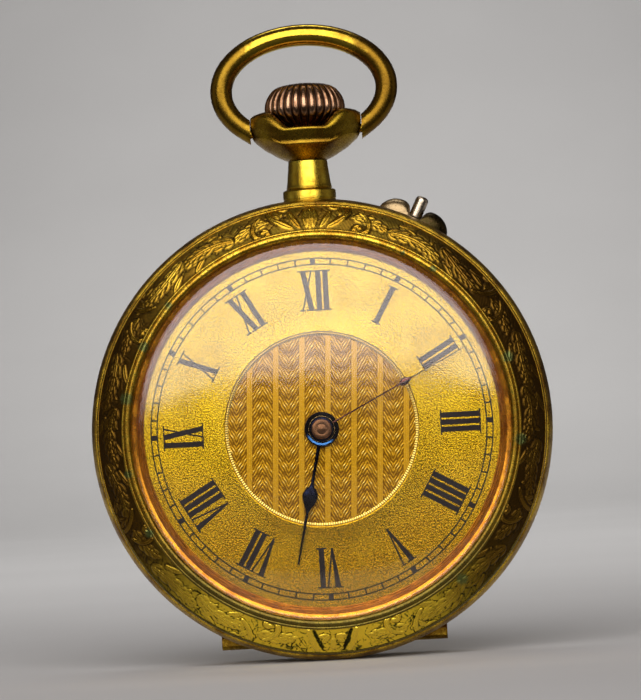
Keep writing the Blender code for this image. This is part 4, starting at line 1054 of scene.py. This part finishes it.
def crown():
    """The fluted crown: broad worn ridges with narrow grooves between them."""
    flutes, per = 28, 12
    levels = np.array([(21.02, 1.40), (21.04, 1.46), (21.38, 1.46)] + smooth([
        (21.42, 1.70), (21.75, 2.30), (22.3, 2.75), (22.85, 2.80), (23.36, 2.65), (23.9, 2.27), (24.2, 1.75),
        (24.34, 1.0), (24.36, 0.4),
    ], 4))
    height, r = levels[:, :1], levels[:, 1:]
    n = flutes * per
    angle = 2 * pi * np.arange(n) / n
    across = np.arange(n) % per / per - 0.5
    groove = np.exp(-((across / 0.17) ** 2))
    fade = np.clip((24.22 - height) / 0.25, 0, 1) * np.clip((height - 21.42) / 0.2, 0, 1)
    ridge = r - 0.13 * groove * fade - 0.02 * np.cos(2 * pi * across) * fade
    x, y = ridge * np.sin(angle), STEM_Y + ridge * np.cos(angle)
    points = np.stack(np.broadcast_arrays(x, y, height), axis=-1).reshape(-1, 3)
    points = np.concatenate([points, [[0, STEM_Y, 21.02], [0, STEM_Y, 24.37]]])
    faces = ring_faces(len(levels), n)
    bottom, top = len(points) - 2, len(points) - 1
    for j in range(n):
        k = (j + 1) % n
        faces.append((bottom, k, j))
        faces.append((top, bottom - n + j, bottom - n + k))
    relief = np.append(np.broadcast_to(1 - groove, ridge.shape), (0.4, 0.6))
    obj = grid_piece("crown_fluted", points, faces, relief, "crown", CROWN, ["crown"])
    bm = bmesh.new()
    bm.from_mesh(obj.data)
    bmesh.ops.recalc_face_normals(bm, faces=bm.faces[:])
    bm.to_mesh(obj.data)
    bm.free()


# ---- Setting pin and its guard -------------------------------------------------------------------
def pin_guard():
    """Two domed lobes on the band with a V between them, through which the pin comes out."""
    reach = 2.58
    spine = [
        (-reach, 0.02), (-2.50, 0.30), (-2.28, 0.60), (-1.95, 0.84), (-1.6, 0.96), (-1.2, 0.99),
        (-0.9, 0.93), (-0.68, 0.78), (-0.54, 0.56), (-0.47, 0.36), (-0.44, 0.26), (-0.42, 0.24),
    ]
    spine = smooth(spine, 4)
    spine += [(0.0, 0.24)] + [(-t, h) for t, h in reversed(spine)]
    steps = 20
    rings = []
    for t, high in spine:
        ground = sqrt((CASE_R + 0.03) ** 2 - t * t)
        wide = max(0.10, sqrt(max(0.0, 1 - abs(t / 2.70) ** 3)))
        ring = []
        for k in range(steps + 1):
            a = pi * k / steps
            ring.append((t, wide * cos(a), ground + high * sin(a) ** 0.75))
        ring.append((t, -wide * 0.5, ground - 0.01))
        ring.append((t, wide * 0.5, ground - 0.01))
        rings.append(ring)
    guard = cut(on_pin(lofted(rings)), on_pin(rod(0.49, (0, 0, 15), (0, 0, 18), 40)))
    piece("guard_lobes", guard, "case", WORN_NICKEL, ["pin_guard"], sharp=50)
    tip = [(0.46, 17.45), (0.45, 17.58), (0.41, 17.68), (0.33, 17.76), (0.20, 17.81), (0.0, 17.82)]
    profile = [(0.0, 11.23), (0.30, 11.23), (0.30, 16.25), (0.46, 16.25)] + tip
    pin = turned(profile, 40)
    pin.transform(Matrix.Rotation(pi / 2, 4, "X"))
    piece("setting_pin_rod", on_pin(pin), "setting_pin", PALE_NICKEL, ["setting_pin"], sharp=50)


# ---- Dial ----------------------------------------------------------------------------------------
DISC_R = 6.74
NUMERAL_R = (8.30, 11.02)
TRACK_R = (11.48, 11.90)
STEM_W, HAIR_W, SERIF = 0.37, 0.10, 0.18
PRINT_H = 0.012


def dial_plate():
    """The frosted dial, with a rolled edge and the step down into the stamped disc."""
    profile = [
        (DISC_R, 0.03), (DISC_R + 0.04, -0.004), (DISC_R + 0.12, -0.008), (DISC_R + 0.2, 0.0),
        (9.0, 0.0), (12.0, 0.0), (12.3, 0.005), (DIAL_R - 0.02, 0.01), (DIAL_R, 0.04), (DIAL_R, 0.38),
        (1.05, 0.38), (1.05, 0.12), (DISC_R, 0.12),
    ]
    piece("dial_plate", turned(profile, 288), "case", DIAL, ["dial"], sharp=50)


BAR_W, BAR_PITCH, BAR_AT = 0.40, 1.82, 0.42
BAND_PERIOD, DASH_PITCH, LINE_PITCH, BREAK_PITCH = 1.06, 0.20, 0.135, 0.27
LEAN = radians(-3.2)


def engine_height(x, z):
    """The stamped pattern: plain bars, and between them bands of fine slanted cuts, in columns that
    point up and down by turns."""
    x, z = x * cos(LEAN) + z * sin(LEAN), z * cos(LEAN) - x * sin(LEAN)
    column = np.floor((x - BAR_AT) / BAR_PITCH + 0.5)
    off = (x - BAR_AT) - column * BAR_PITCH
    bar = np.clip((BAR_W / 2 - np.abs(off)) / 0.05, 0, 1)
    lined = 0.5 + 0.5 * np.cos(2 * pi * off / LINE_PITCH)
    column = np.floor((x - BAR_AT) / BAR_PITCH)
    off = (x - BAR_AT) - (column + 0.5) * BAR_PITCH
    way = np.where(column % 2 == 0, -1.0, 1.0)
    arch = np.cos(off / (BAR_PITCH - BAR_W) * pi * 0.9)
    swell = 0.5 + 0.5 * np.cos(2 * pi * (z - way * 0.55 * arch) / BAND_PERIOD)
    slant = np.sign(off) * way * 0.55
    dash = 0.5 + 0.5 * np.cos(2 * pi * (off + slant * z) / DASH_PITCH)
    broken = 0.5 + 0.5 * np.cos(2 * pi * (z + way * 0.9 * np.abs(off)) / BREAK_PITCH)
    cuts = dash * (0.30 + 0.70 * swell) * (0.35 + 0.65 * broken)
    groove = np.exp(-((np.abs(np.abs(off) - (BAR_PITCH - BAR_W) / 2) / 0.05) ** 2))
    return np.where(bar > 0, 0.26 + 0.34 * bar * lined, cuts * (1 - 0.8 * groove))


def engine_disc():
    """The stamped disc, as a fine square grid cut off at its rim and round the arbor."""
    step, rim, hole = 0.042, DISC_R - 0.22, 1.0
    n = int(rim / step)
    axis = np.arange(-n, n + 1) * step
    x, z = np.meshgrid(axis, axis, indexing="ij")
    relief = engine_height(x, z)
    away = np.hypot(x, z)
    keep = (away <= rim + step) & (away >= hole)
    index = -np.ones(x.shape, int)
    index[keep] = np.arange(keep.sum())
    points = np.stack([x, 0.045 - 0.030 * relief, z], axis=-1)[keep]
    corners = np.stack([index[:-1, :-1], index[1:, :-1], index[1:, 1:], index[:-1, 1:]], axis=-1)
    faces = corners[(corners >= 0).all(axis=-1)].tolist()
    grid_piece("dial_engine_turning", points, faces, relief[keep], "case", TURNED)


def milled_ring():
    """The coin edge round the stamped disc: short radial ridges between two plain circles."""
    teeth, per = 250, 5
    # radius beyond the disc's, depth, share of the ridges
    rings = np.array([
        (-0.25, 0.070, 0.2), (-0.21, 0.050, 1), (-0.08, -0.005, 1), (-0.04, -0.014, 1), (-0.01, -0.004, 1),
        (0.01, 0.040, 0.2),
    ])
    r, y, ridged = rings.T[:, :, None]
    angle = 2 * pi * np.arange(teeth * per) / (teeth * per)
    wave = 0.5 + 0.5 * np.cos(teeth * angle)
    points = round_y(DISC_R + r, y + 0.035 * ridged * (1 - wave), angle)
    relief = 0.45 + 0.55 * wave * ridged
    grid_piece("dial_milled_ring", points, ring_faces(*relief.shape), relief, "case", TURNED)


def numeral(text):
    """The strokes of a Roman numeral as quads of (across, up), centred, with the top outwards."""
    foot, top = NUMERAL_R
    advance = {"I": STEM_W + 0.13, "V": 1.02, "X": 1.12}
    x = -sum(advance[c] for c in text) / 2
    quads = []

    def bar(x0, y0, x1, y1, wide, foot_wide=None):
        low = (wide if foot_wide is None else foot_wide) / 2
        quads.append([(x0 - low, y0), (x0 + low, y0), (x1 + wide / 2, y1), (x1 - wide / 2, y1)])

    def serif(at, y, wide):
        quads.append([
            (at - wide / 2 - SERIF, y - HAIR_W / 2), (at + wide / 2 + SERIF, y - HAIR_W / 2),
            (at + wide / 2 + SERIF, y + HAIR_W / 2), (at - wide / 2 - SERIF, y + HAIR_W / 2),
        ])

    for letter in text:
        mid = x + advance[letter] / 2
        if letter == "I":
            bar(mid, foot, mid, top, STEM_W)
            for y in (foot, top):
                serif(mid, y, STEM_W)
        elif letter == "V":
            bar(mid + 0.03, foot - 0.03, mid - 0.30, top, STEM_W * 1.08, 0.12)
            bar(mid + 0.02, foot, mid + 0.40, top, HAIR_W * 1.2)
            serif(mid - 0.30, top, STEM_W)
            serif(mid + 0.40, top, 0.05)
        else:
            bar(mid + 0.26, foot, mid - 0.24, top, STEM_W)
            bar(mid - 0.34, foot, mid + 0.34, top, HAIR_W * 1.2)
            serif(mid - 0.24, top, STEM_W)
            serif(mid + 0.36, top, 0.05)
            serif(mid + 0.26, foot, STEM_W)
            serif(mid - 0.36, foot, 0.05)
        x += advance[letter]
    return quads


def printed(quads, angle, lift):
    """Raises quads of (across, up) off the dial as thin blocks of ink, turned to an hour's angle. Blocks
    that overlap differ a hair in height."""
    out = []
    for index, quad in enumerate(quads):
        loop = [(x * cos(angle) + r * sin(angle), r * cos(angle) - x * sin(angle)) for x, r in quad]
        out.append(slab([loop], -lift - 0.0006 * (index % 5), 0.02))
    return out


def dial_print():
    """The Roman numerals, and the minute track between its two circles."""
    hours = ["XII", "I", "II", "III", "IIII", "V", "VI", "VII", "VIII", "IX", "X", "XI"]
    for hour, text in enumerate(hours):
        blocks = merged(printed(numeral(text), hour * pi / 6, PRINT_H))
        piece(f"numeral_{hour or 12}", blocks, "case", INK)
    parts = []
    for r in TRACK_R:
        ring = [(r - 0.045, 0.02), (r - 0.045, -0.009), (r + 0.045, -0.009), (r + 0.045, 0.02)]
        parts.append(turned(ring, 288))
    for minute in range(60):
        wide = 0.36 if minute % 5 == 0 else 0.11
        low, high = TRACK_R
        quad = [(-wide / 2, low), (wide / 2, low), (wide / 2, high), (-wide / 2, high)]
        parts += printed([quad], minute * pi / 30, 0.011)
    piece("minute_track", merged(parts), "case", INK)


# ---- Hands ---------------------------------------------------------------------------------------
def needle(angle, pear, start, length, root_w, tip_w, y, thick):
    """A slim hand with a pear-shaped swelling, ridged along its middle."""
    node_at, node_w, below, above = pear
    side = smooth([
        (start, root_w), (node_at - below, root_w * 0.9), (node_at - below * 0.55, node_w * 0.62),
        (node_at - below * 0.12, node_w), (node_at + above * 0.25, node_w * 0.80),
        (node_at + above * 0.65, node_w * 0.28), (node_at + above, root_w * 0.75),
        (length * 0.97, tip_w * 0.9), (length, tip_w),
    ], 6)
    rings = []
    for r, w in side:
        swell = 0.35 + 0.65 * min(1.0, w / node_w)
        rings.append([
            (-w, y, r), (-w * 0.8, y - thick * 0.55 * swell, r), (0, y - thick * swell, r),
            (w * 0.8, y - thick * 0.55 * swell, r), (w, y, r), (0, y + thick * 0.3, r),
        ])
    bm = lofted(rings)
    bm.transform(Matrix.Rotation(angle, 4, "Y"))
    return bm


def hands():
    """The two hands on their bosses, and the cap over the centre arbor."""
    y = node_box("hour_hand")[0].y
    hour = needle(HOUR_ANGLE, (4.80, 0.535, 1.05, 1.45), 1.1, 9.5, 0.13, 0.075, y + 0.14, 0.12)
    piece("hour_needle", hour, "hour", BLUED, ["hour_hand"], sharp=50)
    ring = [
        (0.8, y + 0.2), (0.8, y + 0.075), (1.14, y - 0.03), (1.18, y - 0.02), (1.2, y + 0.02),
        (1.2, y + 0.2),
    ]
    piece("hour_boss", turned(ring, 72), "hour", BOSS_STEEL, sharp=60)
    y = node_box("minute_hand")[0].y
    minute = needle(MINUTE_ANGLE, (6.62, 0.265, 0.62, 0.85), 0.75, 11.3, 0.062, 0.05, y + 0.12, 0.10)
    piece("minute_needle", minute, "minute", BROWNED, ["minute_hand"], sharp=50)
    ring = [
        (0.57, y + 0.17), (0.57, y), (0.70, y - 0.01), (0.80, y + 0.01), (0.87, y + 0.07), (0.89, y + 0.17),
    ]
    piece("minute_boss", turned(ring, 72), "minute", BLUED, sharp=60)
    low = node_box("centre_arbor")[0].y
    cap = [
        (0, low - 0.025), (0.05, low - 0.018), (0.08, low + 0.008), (0.34, low + 0.008), (0.36, low + 0.016),
        (0.38, low + 0.010), (0.64, low + 0.012), (0.70, low + 0.045), (0.71, low + 0.19), (0, low + 0.19),
    ]
    piece("hand_cap", turned(cap, 72), "minute", COPPER_CAP, sharp=60)


# ---- Camera, stage and light ---------------------------------------------------------------------
def camera():
    """A long lens in front, a little to the right and below, rolled as the photograph is."""
    data = bpy.data.cameras.new("camera")
    cam = bpy.data.objects.new("camera", data)
    bpy.context.scene.collection.objects.link(cam)
    distance, azimuth, elevation, roll = 280.0, radians(1.0), radians(-1.2), radians(3.2)
    aim = Vector((0.21, 0.0, 5.5))
    back = Vector((sin(azimuth) * cos(elevation), -cos(azimuth) * cos(elevation), sin(elevation)))
    cam.location = ORIGIN + (aim + back * distance) * MM
    right = Vector((sin(roll), 0, cos(roll))).cross(back).normalized()
    cam.rotation_euler = Matrix((right, back.cross(right), back)).transposed().to_euler()
    data.sensor_width = 36.0
    data.lens = 206.8
    data.clip_start, data.clip_end = 0.01, 20.0
    bpy.context.scene.camera = cam


def stage():
    """A pale floor that sweeps up behind the watch into a plain wall, and a black card in front that only
    the metal and the glass mirror, as photographers lay to keep a table out of a reflection."""
    floor = CAD_BOX[0].z
    front, back, bend, top, half = -0.15, 0.45, 0.35, 0.40, 0.13
    steps = [pi / 2 * i / 16 for i in range(17)]
    curve = [(back + bend * sin(a), bend - bend * cos(a)) for a in steps]
    profile = [(front, 0.0)] + curve + [(back + bend, top)]
    bm = bmesh.new()
    rows = [[bm.verts.new((x, y, floor + z)) for x in (-half, half)] for y, z in profile]
    for low, high in zip(rows, rows[1:]):
        bm.faces.new((low[0], low[1], high[1], high[0]))
    mesh = bpy.data.meshes.new("sweep")
    bm.to_mesh(mesh)
    bm.free()
    mesh.shade_smooth()
    mesh.materials.append(plain_stage("stage_grey", (0.52, 0.512, 0.504)))
    obj = bpy.data.objects.new("sweep", mesh)
    bpy.context.scene.collection.objects.link(obj)
    card = bpy.data.meshes.new("flag")
    corners = [(-0.4, -0.6), (0.4, -0.6), (0.4, -0.022), (-0.4, -0.022)]
    card.from_pydata([(x, y, floor + 0.3 * MM) for x, y in corners], [], [(0, 1, 2, 3)])
    card.materials.append(plain_stage("flag_black", (0.03, 0.03, 0.03)))
    flag = bpy.data.objects.new("flag", card)
    bpy.context.scene.collection.objects.link(flag)
    flag.visible_camera = False
    flag.visible_diffuse = False
    flag.visible_shadow = False


def softbox(name, at, aim, width, height, power, colour=(1, 1, 1), spread=180.0):
    """An area light at a place, facing another, both in millimetres from the dial's centre."""
    data = bpy.data.lights.new(name, "AREA")
    data.shape = "RECTANGLE"
    data.size, data.size_y = width * MM, height * MM
    data.energy = power
    data.color = colour
    data.spread = radians(spread)
    lamp = bpy.data.objects.new(name, data)
    lamp.visible_camera = False
    bpy.context.scene.collection.objects.link(lamp)
    lamp.location = ORIGIN + Vector(at) * MM
    lamp.rotation_euler = (Vector(at) - Vector(aim)).to_track_quat("Z", "Y").to_euler()


def lighting():
    """A tall window in front and above, lights over the floor and the wall behind the watch, a faint one at
    each side, and a dim room."""
    world = bpy.data.worlds.new("studio")
    bpy.context.scene.world = world
    world.use_nodes = True
    tree = world.node_tree
    room = tree.nodes["Background"]
    room.inputs["Color"].default_value = (1.0, 0.84, 0.74, 1)
    room.inputs["Strength"].default_value = 0.05
    seen = tree.nodes.new("ShaderNodeBackground")
    seen.inputs["Color"].default_value = (0.47, 0.455, 0.44, 1)
    path = tree.nodes.new("ShaderNodeLightPath")
    choose = tree.nodes.new("ShaderNodeMixShader")
    tree.links.new(path.outputs["Is Camera Ray"], choose.inputs[0])
    tree.links.new(room.outputs[0], choose.inputs[1])
    tree.links.new(seen.outputs[0], choose.inputs[2])
    tree.links.new(choose.outputs[0], tree.nodes["World Output"].inputs["Surface"])
    softbox("window", (-20, -212, 204), (-20, 0, 204), 325, 360, 1.18, (1.0, 0.97, 0.97))
    softbox("floor_light", (0, 335, 300), (0, 335, 0), 240, 500, 0.34, spread=70)
    softbox("wall_light", (0, 450, 250), (0, 760, 60), 240, 120, 0.225, spread=100)
    for side in (-1, 1):
        softbox(f"side_{side}", (side * 230, -20, 60), (0, -20, 30), 150, 190, 0.016, (1.0, 0.95, 0.90))
    bpy.context.scene.view_settings.view_transform = "Standard"


bezel()
crystal()
case_middle()
case_back()
cuvette()
pendant_neck()
crown_cup()
bow()
crown()
pin_guard()
dial_plate()
engine_disc()
milled_ring()
dial_print()
hands()
camera()
stage()
lighting()

SLOT_FINISH = {
    "gilt_case": CASE_GILT, "gilt_polished": POLISHED, "gilt_dial": DIAL, "crown_copper": COPPER_CAP,
    "nickel": PALE_NICKEL, "crystal": GLASS, "blued_steel": BLUED, "steel": STEEL, "movement_brass": BRASS,
}
for node in frame["nodes"].values():
    slot = node.material_slots[0].material.name.split(".")[0]
    node.material_slots[0].material = SLOT_FINISH.get(slot, STEEL)
    if slot in ("steel", "movement_brass", "blued_steel"):
        worn_edge = node.modifiers.new("worn_edge", "BEVEL")
        worn_edge.width = 0.02 * MM
        worn_edge.segments = 2
        worn_edge.limit_method = "ANGLE"
